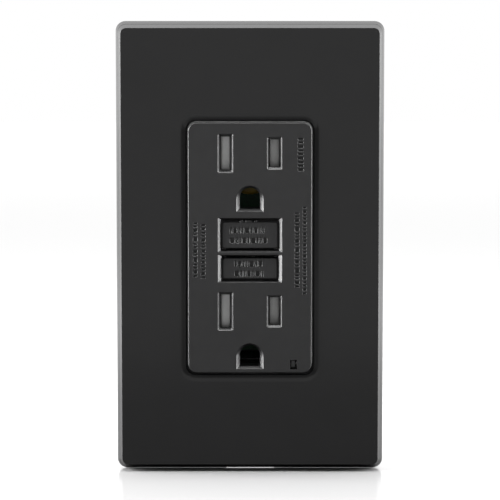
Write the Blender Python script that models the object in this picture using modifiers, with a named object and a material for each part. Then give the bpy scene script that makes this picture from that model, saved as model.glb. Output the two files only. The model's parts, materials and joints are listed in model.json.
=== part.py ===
"""Duplex wall outlet with reset and test buttons, behind a screwless clip-fit cover plate.

Frame: metres, +X right, +Y into the wall, +Z up.  The origin is on the wall plane, which the
mounting strap's rear face touches, at the middle of the device.  The room is on the -Y side.

From the room to the wall box: cover plate, snap frame, face cover with its buttons and shutters,
mounting strap, middle housing with the blade contacts, rear body with the trip mechanism.
"""
import math

import bmesh
import bpy
from mathutils import Matrix, Vector

MM = 0.001
OBJECT_NAME = "duplex_wall_outlet"
GAP = 0.3 * MM      # clearance between neighbouring pieces
PAST = 1.0 * MM     # how far a cutter runs past the wall it cuts
BITE = 0.2 * MM     # how far two joined shapes overlap

# Cover plate: a shallow tray whose sides flare towards the wall.
PLATE_FRONT_Y = -6.2 * MM
PLATE_FRONT_SIZE = (68.4 * MM, 116.3 * MM)
PLATE_REAR_SIZE = (71.5 * MM, 120.2 * MM)
PLATE_FRONT_CORNER = 1.0 * MM
PLATE_REAR_CORNER = 1.9 * MM
PLATE_FRONT_WALL = 2.0 * MM
PLATE_SIDE_WALL = 1.8 * MM
PLATE_EDGE = 0.5 * MM
PLATE_OPENING = (33.95 * MM, 67.8 * MM)
PLATE_OPENING_DROP = 0.1 * MM
PLATE_OPENING_CORNER = 2.6 * MM
PLATE_LIP = (1.8 * MM, 0.35 * MM)            # how far the opening's dished lip reaches, and its depth
PLATE_LIP_STEPS = 3
PRY_NOTCH = (13.0 * MM, 3.8 * MM, 0.6 * MM)  # width, depth and height, at the foot of the plate
HOOK_X = 26.5 * MM
HOOK_Z = 45.6 * MM
HOOK_SIZE = (5.0 * MM, 2.6 * MM, 1.2 * MM)
HOOK_NUB = (5.0 * MM, 0.7 * MM, 0.6 * MM)

# Snap frame: the screwed plate that the cover plate clips to.
FRAME_SIZE = (62.0 * MM, 112.0 * MM)
FRAME_CORNER = 3.0 * MM
FRAME_FRONT_Y = -3.3 * MM
FRAME_REAR_Y = -1.5 * MM
FRAME_RIM_WALL = 1.5 * MM
FRAME_RIM_REAR_Y = -0.3 * MM
FRAME_OPENING = (33.9 * MM, 67.7 * MM)
FRAME_SLOT = (6.2 * MM, 2.7 * MM)
PLATE_SCREW_Z = 48.4 * MM
BOX_SCREW_Z = 41.65 * MM
BOX_SCREW_CLEARANCE = 3.5 * MM

# Shanks: the plain one of the larger screws, and the slimmer one of the frame screws.
SCREW_SHANK = 1.7 * MM
SLIM_SHANK = 1.5 * MM
BORE_REACH = 2.0 * MM     # half length of a cutter that bores a thin plate

# Face cover: the part of the device that shows in the plate's opening.
FACE_SIZE = (33.15 * MM, 66.9 * MM)
FACE_CORNER = 2.3 * MM
FACE_FRONT_Y = -7.0 * MM
FACE_INNER_Y = -5.0 * MM
FACE_REAR_Y = -1.5 * MM
FACE_EDGE = 0.35 * MM
FACE_SIDE_WALL = 1.5 * MM
BOSS_RADIUS = 2.4 * MM

# Outlets: two blade slots and a ground hole each.
OUTLET_Z = {"upper": 25.0 * MM, "lower": -17.0 * MM}
BLADE_X = 6.5 * MM
SIDES = {"neutral": -1, "hot": 1}
SLOT_SIZE = {"neutral": (2.2 * MM, 8.75 * MM), "hot": (2.3 * MM, 7.2 * MM)}
SLOT_MOUTH = {"neutral": (4.1 * MM, 10.4 * MM), "hot": (4.0 * MM, 8.7 * MM)}
SLOT_CHAMFER = 0.9 * MM
GROUND_DROP = 11.85 * MM
GROUND_SIZE = (5.3 * MM, 5.7 * MM)
GROUND_MOUTH = (7.3 * MM, 7.0 * MM)
GROUND_MOUTH_DROP = 0.15 * MM
GROUND_CLEARANCE = (5.8 * MM, 6.6 * MM)

# Buttons, each given as (centre z, width, height) of the cap.
RESET_CAP = (3.45 * MM, 14.9 * MM, 7.1 * MM)
TEST_CAP = (-5.4 * MM, 14.6 * MM, 5.6 * MM)
RESET_MOUTH = (3.55 * MM, 17.0 * MM, 9.1 * MM)
TEST_MOUTH = (-5.4 * MM, 17.0 * MM, 7.4 * MM)
MOUTH_CHAMFER = 0.8 * MM
MOUTH_SKIM = 0.02 * MM      # how deep the widest part of a mouth's cutter goes
CAP_FRONT_Y = -6.5 * MM
CAP_EDGE = 0.3 * MM
FLANGE_FRONT_Y = -4.7 * MM
FLANGE_REAR_Y = -3.7 * MM
FLANGE_WIDTH = 16.8 * MM
FLANGE_REACH = 0.8 * MM     # past the cap, on the side away from the other button
SKIRT_WIDTH = 10.0 * MM
SKIRT_INSET = 1.0 * MM
SKIRT_REAR_Y = -2.0 * MM

# Reset pin, with the shoulder that the latch plate catches.
PIN_RADIUS = 1.2 * MM
PIN_FRONT_Y = -4.2 * MM
PIN_REAR_Y = 19.0 * MM
PIN_SHOULDER_Y = 18.1 * MM
PIN_SHOULDER_RADIUS = 1.7 * MM
PIN_TIP = 0.4 * MM
TEST_STEM_REAR_Y = 7.3 * MM

# Tamper shutters behind the face.
SHUTTER_SIZE = {"neutral": (4.0 * MM, 2.4 * MM, 10.8 * MM), "hot": (4.0 * MM, 2.4 * MM, 9.4 * MM)}
SHUTTER_Y = -3.4 * MM
SHUTTER_RAMP = 1.3 * MM

# Indicator: a window in the face, a light pipe and a lamp.
INDICATOR = (11.5 * MM, -30.95 * MM)
INDICATOR_WINDOW = (1.8 * MM, 2.5 * MM)
PIPE_HEAD = (1.2 * MM, 1.3 * MM, 1.9 * MM)
PIPE_HEAD_Y = -5.75 * MM
PIPE_Z = -30.7 * MM
PIPE_RADIUS = 0.55 * MM
PIPE_CLEARANCE = 0.55 * MM
PIPE_STEPS = 10
PIPE_REAR_Y = 19.4 * MM
LAMP_RADIUS = 0.9 * MM
LAMP_FRONT_Y = 20.0 * MM
LAMP_REAR_Y = 23.1 * MM
LAMP_DOME_STEPS = 3

# Mounting strap.
STRAP_THICKNESS = 1.2 * MM
STRAP_MIDDLE = (36.0 * MM, 66.9 * MM)
STRAP_EAR = (34.0 * MM, 17.6 * MM)
STRAP_EAR_TOP = 53.2 * MM
STRAP_NECK = (33.0 * MM, 8.0 * MM)
STRAP_NECK_OUT = 1.0 * MM   # how far the neck's middle lies above the strap's middle part
STRAP_CORNER = 2.5 * MM
BLADE_WINDOW = (20.4 * MM, 11.2 * MM)
BUTTON_WINDOW = (12.8 * MM, 15.2 * MM)
BUTTON_WINDOW_Z = -0.8 * MM
BOX_SLOT = (7.0 * MM, 4.2 * MM)
BOX_SLOT_CORNER = 2.05 * MM
PLATE_HOLE_RADIUS = 2.0 * MM
GROUND_TAB_X = (-14.0 * MM, -4.6 * MM)
GROUND_TAB_REAR_Y = 11.5 * MM
GROUND_TAB_Z = (-38.0 * MM, -36.8 * MM)
GROUND_TAB_SINK = 0.1 * MM
GROUND_SCREW_AT = (-9.3 * MM, 6.2 * MM)

# Assembly screws, from the back, through the housings and the strap, into the face cover.
ASSEMBLY_AT = (13.5 * MM, 25.5 * MM)
ASSEMBLY_HOLE = 1.6 * MM
ASSEMBLY_SEAT_HOLE = 1.5 * MM
ASSEMBLY_SHANK = 1.2 * MM
ASSEMBLY_FRONT_Y = -4.2 * MM
ASSEMBLY_HEAD_Y = 26.6 * MM
ASSEMBLY_HEAD_RADIUS = 2.3 * MM
ASSEMBLY_HEAD_HEIGHT = 1.5 * MM
ASSEMBLY_CROWN = (0.7, 0.6)                       # share of the head's radius and of its height
ASSEMBLY_SLOT = (3.6 * MM, 0.8 * MM, 0.8 * MM)    # length, width, depth
ASSEMBLY_SKIN = 0.5 * MM                          # left behind a screw's bore

# Middle housing and rear body.
BODY_SIZE = (43.0 * MM, 66.9 * MM)
BODY_CORNER = 2.0 * MM
BODY_WALL = 1.6 * MM
MIDDLE_FRONT_Y = 0.3 * MM
MIDDLE_FLOOR_Y = 9.8 * MM
MIDDLE_REAR_Y = 11.0 * MM
REAR_FRONT_Y = 11.3 * MM
REAR_FLOOR_Y = 26.7 * MM
REAR_BACK_Y = 28.3 * MM
REAR_TAPER = 1.3 * MM
POST_RADIUS = 2.7 * MM
REAR_POST_RADIUS = 3.2 * MM
FLOOR_BLADE_WINDOW = (3.4 * MM, 9.6 * MM)
FLOOR_PIN_HOLE = 1.7 * MM
FLOOR_PIPE_HOLE = 1.2 * MM

# Blade and ground contacts.
BAR_X = (9.7 * MM, 10.5 * MM)
BAR_Y = (3.0 * MM, 9.0 * MM)
GRIP_SIZE = (3.0 * MM, 8.8 * MM)
GRIP_WALL = 0.6 * MM
GRIP_Y = (2.0 * MM, 8.0 * MM)
GRIP_TAB_HEIGHT = 4.0 * MM
GRIP_TAB_Y = (4.0 * MM, 4.8 * MM)
FIXED_LUG_HALF = 1.2 * MM
FIXED_LUG_REAR_Y = 8.4 * MM
FIXED_CONTACT_SINK = 0.4 * MM
RIVET_STEPS = 12
FIXED_CONTACT_AT = (8.6 * MM, 7.0 * MM)
FIXED_CONTACT_RADIUS = 1.5 * MM
FIXED_CONTACT_Y = (7.2 * MM, 11.3 * MM)
FIXED_CONTACT_HOLE = 1.9 * MM
GROUND_PLATE_WIDTH = 9.2 * MM
GROUND_PLATE_REACH = (-2.6 * MM, 4.6 * MM)
GROUND_PLATE_NOTCH = 2.6 * MM
GROUND_PLATE_Y = (0.3 * MM, 1.0 * MM)
GROUND_LEAF_X = (2.75 * MM, 3.35 * MM)
GROUND_LEAF_HEIGHT = 5.0 * MM
GROUND_LEAF_REAR_Y = 8.6 * MM

# Contact arms, which the latch block carries.
ARM_X = (7.4 * MM, 9.8 * MM)
ARM_Y = (12.0 * MM, 12.6 * MM)
ARM_Z = (-13.0 * MM, 8.8 * MM)
ARM_PIVOT = (8.6 * MM, 12.3 * MM, -12.0 * MM)
ARM_PAD_Y = (11.6 * MM, 12.2 * MM)
ARM_PAD_RADIUS = 1.1 * MM

# Latch block and latch plate.
BLOCK_LOW = (-4.2 * MM, 13.2 * MM, 0.0)
BLOCK_HIGH = (4.2 * MM, 18.2 * MM, 6.9 * MM)
BLOCK_WING_LOW = (-10.0 * MM, 12.9 * MM, 2.2 * MM)
BLOCK_WING_HIGH = (10.0 * MM, 14.4 * MM, 4.7 * MM)
BLOCK_PIN_HOLE = 2.2 * MM
BLOCK_SLOT_LOW = (-3.4 * MM, 15.6 * MM, -1.0 * MM)
BLOCK_SLOT_HIGH = (3.4 * MM, 17.0 * MM, 8.0 * MM)
LATCH_LOW = (-3.1 * MM, 15.9 * MM, -2.6 * MM)
LATCH_HIGH = (3.1 * MM, 16.7 * MM, 7.4 * MM)
LATCH_HOLE_X = 1.45 * MM
LATCH_HOLE_Z = (2.0 * MM, 6.2 * MM)

# Solenoid: bobbin, winding, steel frame, plunger and its spring, all on one upright axis.
SOLENOID_Y = 16.4 * MM
BOBBIN_Z = (-23.4 * MM, -10.6 * MM)
BOBBIN_FLANGE = (4.4 * MM, 0.9 * MM)
BOBBIN_BARREL = 2.3 * MM
BOBBIN_BORE = 1.65 * MM
COIL_RADII = (2.6 * MM, 4.1 * MM)
SOLENOID_FRAME_LOW = (-5.0 * MM, 11.6 * MM, -25.0 * MM)
SOLENOID_FRAME_HIGH = (5.0 * MM, 21.7 * MM, -9.0 * MM)
SOLENOID_FRAME_WALL = 1.1 * MM
SOLENOID_FRAME_BACK = 0.8 * MM
SOLENOID_FRAME_HOLE = 1.8 * MM
PLUNGER_RADIUS = 1.3 * MM
PLUNGER_Z = (-20.0 * MM, -2.9 * MM)
PLUNGER_COLLAR = (2.1 * MM, -5.0 * MM, -4.4 * MM)

# Sensing coils: two closed rings, one behind the other.
SENSE_Z = 20.2 * MM
SENSE_RADII = (3.4 * MM, 7.2 * MM)
SENSE_EDGE = 0.6 * MM
SENSE_Y = {"sense_coil": (14.2 * MM, 17.9 * MM), "neutral_coil": (18.3 * MM, 22.0 * MM)}

# Circuit board.
BOARD_HALF = (14.5 * MM, 31.2 * MM)
BOARD_Y = (23.4 * MM, 25.0 * MM)
BOARD_NOTCH_X = 9.9 * MM
BOARD_NOTCH_Z = (22.0 * MM, 29.0 * MM)

# Side terminals: a plate, its screw and a clamp that the screw draws in.
TERMINAL_Z = {"load": 16.0 * MM, "line": -16.0 * MM}
TERMINAL_Y = 17.0 * MM
TERMINAL_X = (18.8 * MM, 19.6 * MM)
TERMINAL_SIZE = (10.2 * MM, 11.2 * MM)
TERMINAL_WINDOW = (9.0 * MM, 9.0 * MM)
WINDOW_REACH = 2.0 * MM
TERMINAL_HOLE = 2.1 * MM
SCREW_HEAD = 3.6 * MM
SCREW_CROWN = (0.8, 0.5 * MM)     # share of the head's radius, and height
SCREW_HEAD_X = 20.0 * MM
SCREW_HEAD_HEIGHT = 2.2 * MM
SCREW_LENGTH = 6.4 * MM
DRIVER_SLOT = (1.1 * MM, 1.1 * MM)
CLAMP_X = (17.2 * MM, 18.4 * MM)
CLAMP_SIZE = (8.0 * MM, 8.8 * MM)
CLAMP_HOLE = 2.0 * MM
WIRE_HOLE = (18.1 * MM, 2.6 * MM)
WIRE_HOLE_RADIUS = 1.35 * MM
WIRE_HOLE_STEPS = 12

# Ground terminal under the strap's tab.
GROUND_HEAD_RADIUS = 4.0 * MM
GROUND_HEAD_Z = -38.3 * MM
GROUND_HEAD_HEIGHT = 2.2 * MM
GROUND_SHANK_TOP = -34.1 * MM
GROUND_CLAMP_Z = (-36.5 * MM, -35.5 * MM)
GROUND_CLAMP_SIZE = (8.0 * MM, 8.0 * MM)

# Long box screws and their retainers; the snap frame's own screws.
BOX_SCREW_HEAD = 3.2 * MM
BOX_SCREW_HEAD_Y = (-3.6 * MM, -1.5 * MM)
BOX_SCREW_END_Y = 27.0 * MM
BOX_SCREW_CROWN = ((1.98 * MM, -0.25 * MM), (3.2 * MM, -1.1 * MM))    # radius and height
BOX_SCREW_SLOT = (5.4 * MM, 1.0 * MM, 1.0 * MM)
RETAINER = (4.0 * MM, 2.0 * MM)
RETAINER_Y = (0.3 * MM, 1.1 * MM)
PLATE_SCREW_HEAD = 2.75 * MM
PLATE_SCREW_Y = (-3.2 * MM, -1.5 * MM)
PLATE_SCREW_END_Y = 9.0 * MM
PLATE_SCREW_RIM = 0.15 * MM
PLATE_SCREW_SLOT = (5.2 * MM, 0.9 * MM, 0.8 * MM)

# Springs: (centre x, centre z, radius of the wire's centre line, wire radius, first y, last y, turns).
RESET_SPRING = (0.0, RESET_CAP[0], 2.5 * MM, 0.25 * MM, -1.3 * MM, 9.1 * MM, 6)
TEST_SPRING = (0.0, TEST_CAP[0], 2.1 * MM, 0.2 * MM, -1.4 * MM, 8.5 * MM, 6)
PLUNGER_SPRING = (1.85 * MM, 0.18 * MM, -8.6 * MM, -5.4 * MM, 3)
SHUTTER_SPRING = (0.9 * MM, 0.15 * MM, 4.0 * MM, 4)
TEST_CONTACT_LOW = (-9.0 * MM, 9.1 * MM, -6.4 * MM)
TEST_CONTACT_HIGH = (1.4 * MM, 9.5 * MM, -4.4 * MM)

ROUND_STEPS = 16
CORNER_STEPS = 4
COIL_STEPS = 8


# ---- scene, materials and objects ---------------------------------------------------------------

def clear_scene():
    for item in list(bpy.data.objects):
        bpy.data.objects.remove(item, do_unlink=True)


def make_collection(name):
    group = bpy.data.collections.new(name)
    bpy.context.scene.collection.children.link(group)
    return group


def material(name, colour, roughness, metallic=0.0):
    """A Principled material, made once for each name."""
    made = bpy.data.materials.get(name)
    if made:
        return made
    made = bpy.data.materials.new(name)
    made.use_nodes = True
    shader = made.node_tree.nodes["Principled BSDF"]
    shader.inputs["Base Color"].default_value = (*colour, 1.0)
    shader.inputs["Roughness"].default_value = roughness
    shader.inputs["Metallic"].default_value = metallic
    made.diffuse_color = (*colour, 1.0)
    return made


def cover_black():
    return material("cover_black", (0.024, 0.024, 0.025), 0.35)


def device_black():
    return material("device_black", (0.036, 0.036, 0.038), 0.5)


def frame_black():
    return material("frame_black", (0.03, 0.03, 0.032), 0.6)


def shutter_grey():
    return material("shutter_grey", (0.19, 0.19, 0.19), 0.5)


def housing_thermoplastic():
    return material("housing_thermoplastic", (0.045, 0.045, 0.05), 0.55)


def zinc_steel():
    return material("zinc_steel", (0.62, 0.63, 0.62), 0.35, 1.0)


def contact_brass():
    return material("contact_brass", (0.72, 0.52, 0.23), 0.3, 1.0)


def nickel_brass():
    return material("nickel_brass", (0.7, 0.68, 0.62), 0.3, 1.0)


def ground_green():
    return material("ground_green", (0.04, 0.3, 0.1), 0.4, 0.6)


def winding_copper():
    return material("winding_copper", (0.6, 0.2, 0.08), 0.35, 1.0)


def coil_wrap():
    return material("coil_wrap", (0.55, 0.42, 0.06), 0.5)


def board_green():
    return material("board_green", (0.02, 0.16, 0.06), 0.5)


def clear_lens():
    return material("clear_lens", (0.35, 0.36, 0.36), 0.15)


def bobbin_white():
    return material("bobbin_white", (0.7, 0.69, 0.64), 0.5)


def retainer_red():
    return material("retainer_red", (0.45, 0.04, 0.03), 0.6)


def add_part(name, mesh_data, finish, origin=(0.0, 0.0, 0.0)):
    """A sub-part drawn in the outlet's coordinates and stored about its own origin."""
    mesh = bpy.data.meshes.new(name)
    bmesh.ops.translate(mesh_data, vec=-Vector(origin), verts=mesh_data.verts)
    mesh_data.to_mesh(mesh)
    mesh_data.free()
    mesh.materials.append(finish)
    part = bpy.data.objects.new(name, mesh)
    part.location = origin
    PARTS.objects.link(part)
    return part


def shade_round(part):
    part.data.shade_smooth()
    part.data.set_sharp_from_angle(angle=math.radians(35))


def combine(part, mesh_data, operation):
    """Cuts a shape from a part, or joins it on, with a Boolean modifier."""
    label = f"{part.name}_{operation.lower()}_{len(part.modifiers)}"
    mesh = bpy.data.meshes.new(label)
    mesh_data.to_mesh(mesh)
    mesh_data.free()
    tool = bpy.data.objects.new(label, mesh)
    tool.hide_render = True
    tool.display_type = 'WIRE'
    CUTTERS.objects.link(tool)
    modifier = part.modifiers.new(label, 'BOOLEAN')
    modifier.operation = operation
    modifier.solver = 'EXACT'
    modifier.object = tool


def cut(part, mesh_data):
    combine(part, mesh_data, 'DIFFERENCE')


def join(part, mesh_data):
    combine(part, mesh_data, 'UNION')


# ---- shapes -------------------------------------------------------------------------------------

def box_between(low, high, into=None):
    """A box from its low corner to its high corner, added to a bmesh."""
    made = into or bmesh.new()
    size = Vector(high) - Vector(low)
    middle = (Vector(high) + Vector(low)) / 2
    bmesh.ops.create_cube(made, size=1.0, matrix=Matrix.Translation(middle) @ Matrix.Diagonal((*size, 1.0)))
    return made


def box_around(x, z, width, height, front, rear, into=None):
    """A box centred on (x, z), from y = front to y = rear."""
    low = (x - width / 2, front, z - height / 2)
    high = (x + width / 2, rear, z + height / 2)
    return box_between(low, high, into)


AXIS_TURNS = {
    'X': Matrix.Rotation(math.radians(90), 4, 'Y'),
    'Y': Matrix.Rotation(math.radians(-90), 4, 'X'),
    'Z': Matrix.Identity(4),
}


def rod(axis, centre, radius, into=None, length=None, end_radius=None, steps=ROUND_STEPS):
    """A cylinder, or a cone, about an axis through its centre."""
    made = into or bmesh.new()
    place = Matrix.Translation(centre) @ AXIS_TURNS[axis]
    tip = radius if end_radius is None else end_radius
    bmesh.ops.create_cone(
        made, cap_ends=True, segments=steps, radius1=radius, radius2=tip, depth=length, matrix=place)
    return made


def rod_y(x, z, radius, front, rear, into=None, end_radius=None, steps=ROUND_STEPS):
    """A cylinder along Y, from y = front to y = rear; end_radius is the radius at the rear."""
    middle = (x, (front + rear) / 2, z)
    return rod('Y', middle, radius, into, rear - front, end_radius, steps)


def rectangle(width, height):
    """Corners of a rectangle, anticlockwise."""
    x, z = width / 2, height / 2
    return [(x, z), (-x, z), (-x, -z), (x, -z)]


def rounded_rectangle(width, height, radius, steps=CORNER_STEPS):
    """A rectangle with round corners, anticlockwise from the right."""
    points = []
    for turn, (sx, sz) in enumerate([(1, 1), (-1, 1), (-1, -1), (1, -1)]):
        centre_x = sx * (width / 2 - radius)
        centre_z = sz * (height / 2 - radius)
        for step in range(steps + 1):
            angle = math.radians(90) * (turn + step / steps)
            points.append((centre_x + radius * math.cos(angle), centre_z + radius * math.sin(angle)))
    return points


def arched(width, height, steps=10):
    """A hole with a half-round top and a flat bottom, about the middle of its height."""
    radius = width / 2
    spring_z = height / 2 - radius
    points = [(-radius, -height / 2), (radius, -height / 2)]
    for step in range(steps + 1):
        angle = math.radians(180) * step / steps
        points.append((radius * math.cos(angle), spring_z + radius * math.sin(angle)))
    return points


def loft(sections, into=None):
    """A closed body through sections, each (outline, y), or (outline, y, x, z) off the axis."""
    made = into or bmesh.new()
    rings = []
    for outline, y, *centre in sections:
        cx, cz = centre or (0.0, 0.0)
        rings.append([made.verts.new((cx + x, y, cz + z)) for x, z in outline])
    sides = []
    for near, far in zip(rings, rings[1:]):
        for i in range(len(near)):
            k = (i + 1) % len(near)
            sides.append(made.faces.new((near[i], near[k], far[k], far[i])))
    sides.append(made.faces.new(list(reversed(rings[0]))))
    sides.append(made.faces.new(rings[-1]))
    bmesh.ops.recalc_face_normals(made, faces=sides)
    return made


def mouth(outline, x, z, inner, outer, chamfer, rear, into=None, outer_drop=0.0):
    """A cutter for a hole whose mouth is chamfered at the face: the slope runs on past the face."""
    slope = 1.0 + PAST / chamfer
    wide = [inner[i] + (outer[i] - inner[i]) * slope for i in range(2)]
    sections = [
        (outline(*wide), FACE_FRONT_Y - PAST, x, z - outer_drop * slope),
        (outline(*inner), FACE_FRONT_Y + chamfer, x, z),
        (outline(*inner), rear, x, z),
    ]
    return loft(sections, into)


def turned(name, finish, profile, axis, origin):
    """A turned piece: (radius, height) points from the top down its outer side, about an axis."""
    mesh = bpy.data.meshes.new(name)
    points = [(radius, 0.0, height) for radius, height in profile]
    closed = profile[0][0] > 0.0
    edges = [(i, i + 1) for i in range(len(points) - 1)]
    if closed:
        edges.append((len(points) - 1, 0))
    mesh.from_pydata(points, edges, [])
    mesh.materials.append(finish)
    part = bpy.data.objects.new(name, mesh)
    screw = part.modifiers.new("turn", 'SCREW')
    screw.angle = math.radians(360)
    screw.steps = ROUND_STEPS
    screw.render_steps = ROUND_STEPS
    screw.use_merge_vertices = True
    screw.merge_threshold = 0.00001
    part.matrix_world = Matrix.Translation(origin) @ axis
    PARTS.objects.link(part)
    return part


FACING = {
    "+X": Matrix.Rotation(math.radians(90), 4, 'Y'),
    "-X": Matrix.Rotation(math.radians(-90), 4, 'Y'),
    "+Y": Matrix.Rotation(math.radians(-90), 4, 'X'),
    "-Y": Matrix.Rotation(math.radians(90), 4, 'X'),
    "+Z": Matrix.Identity(4),
    "-Z": Matrix.Rotation(math.radians(180), 4, 'X'),
}


def coil_spring(name, radius, wire, length, turns, axis, start):
    """A compression spring: a helix from a start point, along an axis."""
    curve = bpy.data.curves.new(name, 'CURVE')
    curve.dimensions = '3D'
    curve.bevel_depth = wire
    curve.bevel_resolution = 2
    curve.use_fill_caps = True
    spline = curve.splines.new('POLY')
    count = turns * COIL_STEPS
    spline.points.add(count)
    for i, point in enumerate(spline.points):
        angle = 2 * math.pi * i / COIL_STEPS
        point.co = (radius * math.cos(angle), radius * math.sin(angle), length * i / count, 1.0)
    curve.materials.append(zinc_steel())
    spring = bpy.data.objects.new(name, curve)
    spring.matrix_world = Matrix.Translation(start) @ axis
    PARTS.objects.link(spring)


def corners(at):
    """The four places mirrored about both axes."""
    x, z = at
    return [(sx * x, sz * z) for sz in (1, -1) for sx in (-1, 1)]


# ---- cover plate and snap frame -----------------------------------------------------------------

def shrunk(size, by):
    return (size[0] - 2 * by, size[1] - 2 * by)


def plate_size_at(y):
    """Outer width and height of the cover plate at a depth."""
    share = (y - PLATE_FRONT_Y) / -PLATE_FRONT_Y
    return [front + (rear - front) * share for front, rear in zip(PLATE_FRONT_SIZE, PLATE_REAR_SIZE)]


def make_wall_plate():
    edge_y = PLATE_FRONT_Y + PLATE_EDGE
    shell = loft([
        (rounded_rectangle(*shrunk(PLATE_FRONT_SIZE, PLATE_EDGE), PLATE_FRONT_CORNER), PLATE_FRONT_Y),
        (rounded_rectangle(*plate_size_at(edge_y), PLATE_FRONT_CORNER), edge_y),
        (rounded_rectangle(*PLATE_REAR_SIZE, PLATE_REAR_CORNER), 0.0),
    ])
    plate = add_part("wall_plate", shell, cover_black())
    inner_y = PLATE_FRONT_Y + PLATE_FRONT_WALL
    cut(plate, loft([
        (rounded_rectangle(*shrunk(plate_size_at(inner_y), PLATE_SIDE_WALL), PLATE_FRONT_CORNER), inner_y),
        (rounded_rectangle(*shrunk(plate_size_at(PAST), PLATE_SIDE_WALL), PLATE_FRONT_CORNER), PAST),
    ]))
    cut(plate, opening_cutter(inner_y + PAST))
    width, depth, height = PRY_NOTCH
    foot_z = -PLATE_REAR_SIZE[1] / 2
    cut(plate, box_between((-width / 2, -depth, foot_z - PAST), (width / 2, PAST, foot_z + height)))
    hooks = bmesh.new()
    for sx in (-1, 1):
        for sz in (-1, 1):
            add_hook(hooks, sx * HOOK_X, sz, inner_y)
    join(plate, hooks)
    return plate


def opening_cutter(rear):
    """The opening, with a lip that dishes in from the face."""
    reach, depth = PLATE_LIP
    sections = []
    for step in range(PLATE_LIP_STEPS + 1):
        share = 1.0 - step / PLATE_LIP_STEPS
        sections.append((reach * share, PLATE_FRONT_Y + depth * (1.0 - share) ** 2))
    first_slope = (sections[1][0] - sections[0][0]) / (sections[1][1] - sections[0][1])
    sections[0] = (reach - first_slope * PAST, PLATE_FRONT_Y - PAST)
    sections.append((0.0, rear))
    return loft([opening_section(out, y) for out, y in sections])


def opening_section(out, y):
    width, height = PLATE_OPENING
    outline = rounded_rectangle(width + 2 * out, height + 2 * out, PLATE_OPENING_CORNER + out)
    return outline, y, 0.0, -PLATE_OPENING_DROP


def add_hook(shapes, x, side, inner_y):
    """A snap hook behind the plate: a tongue with a nub that faces away from the middle."""
    width, depth, thickness = HOOK_SIZE
    nub_width, nub_depth, nub_height = HOOK_NUB
    z = side * HOOK_Z
    tip_y = inner_y + depth
    section = [
        (inner_y - BITE, thickness / 2),
        (tip_y - nub_depth, thickness / 2),
        (tip_y - nub_depth, thickness / 2 + nub_height),
        (tip_y, thickness / 2),
        (tip_y, -thickness / 2),
        (inner_y - BITE, -thickness / 2),
    ]
    near = [shapes.verts.new((x - nub_width / 2, y, z + side * out)) for y, out in section]
    face = shapes.faces.new(near)
    grown = bmesh.ops.extrude_face_region(shapes, geom=[face])["geom"]
    moved = [item for item in grown if isinstance(item, bmesh.types.BMVert)]
    bmesh.ops.translate(shapes, vec=(width, 0.0, 0.0), verts=moved)
    bmesh.ops.recalc_face_normals(shapes, faces=shapes.faces)


def make_snap_frame():
    rim_inner = shrunk(FRAME_SIZE, FRAME_RIM_WALL)
    tray = loft([
        (rounded_rectangle(*FRAME_SIZE, FRAME_CORNER), FRAME_FRONT_Y),
        (rounded_rectangle(*FRAME_SIZE, FRAME_CORNER), FRAME_RIM_REAR_Y),
    ])
    frame = add_part("snap_frame", tray, frame_black())
    cut(frame, loft([
        (rounded_rectangle(*rim_inner, FRAME_CORNER - FRAME_RIM_WALL), FRAME_REAR_Y),
        (rounded_rectangle(*rim_inner, FRAME_CORNER - FRAME_RIM_WALL), PAST),
    ]))
    cut(frame, loft([
        (rounded_rectangle(*FRAME_OPENING, PLATE_OPENING_CORNER), FRAME_FRONT_Y - PAST),
        (rounded_rectangle(*FRAME_OPENING, PLATE_OPENING_CORNER), PAST),
    ]))
    holes = bmesh.new()
    countersinks = bmesh.new()
    front, rear = PLATE_SCREW_Y
    slope = (PLATE_SCREW_HEAD - SCREW_SHANK) / (rear - front)
    for side in (-1, 1):
        rod_y(0.0, side * BOX_SCREW_Z, BOX_SCREW_CLEARANCE, FRAME_FRONT_Y - PAST, FRAME_REAR_Y + PAST, holes)
        rod_y(0.0, side * PLATE_SCREW_Z, PLATE_SCREW_HEAD + GAP + slope * PAST, front - PAST, rear + PAST,
              countersinks, end_radius=SCREW_SHANK + GAP - slope * PAST)
        for x in (-HOOK_X, HOOK_X):
            slot_z = side * (HOOK_Z + HOOK_NUB[2] / 2)
            box_around(x, slot_z, *FRAME_SLOT, FRAME_FRONT_Y - PAST, FRAME_REAR_Y + PAST, holes)
    cut(frame, holes)
    cut(frame, countersinks)


def front_slot(z, front, slot):
    """The driver slot of a screw that is turned from the front."""
    length, width, depth = slot
    return box_around(0.0, z, length, width, front - PAST, front + depth)


def make_plate_screws():
    front, rear = PLATE_SCREW_Y
    profile = [
        (0.0, 0.0),
        (PLATE_SCREW_HEAD, 0.0),
        (PLATE_SCREW_HEAD, -PLATE_SCREW_RIM),
        (SLIM_SHANK, front - rear),
        (SLIM_SHANK, front - PLATE_SCREW_END_Y),
        (0.0, front - PLATE_SCREW_END_Y),
    ]
    for label, side in (("top", 1), ("bottom", -1)):
        place = (0.0, front, side * PLATE_SCREW_Z)
        screw = turned(f"frame_screw_{label}", zinc_steel(), profile, FACING["-Y"], place)
        shade_round(screw)
        cut(screw, front_slot(place[2], front, PLATE_SCREW_SLOT))


# ---- face cover and what works in it ------------------------------------------------------------

def ground_z(outlet):
    return OUTLET_Z[outlet] - GROUND_DROP


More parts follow.
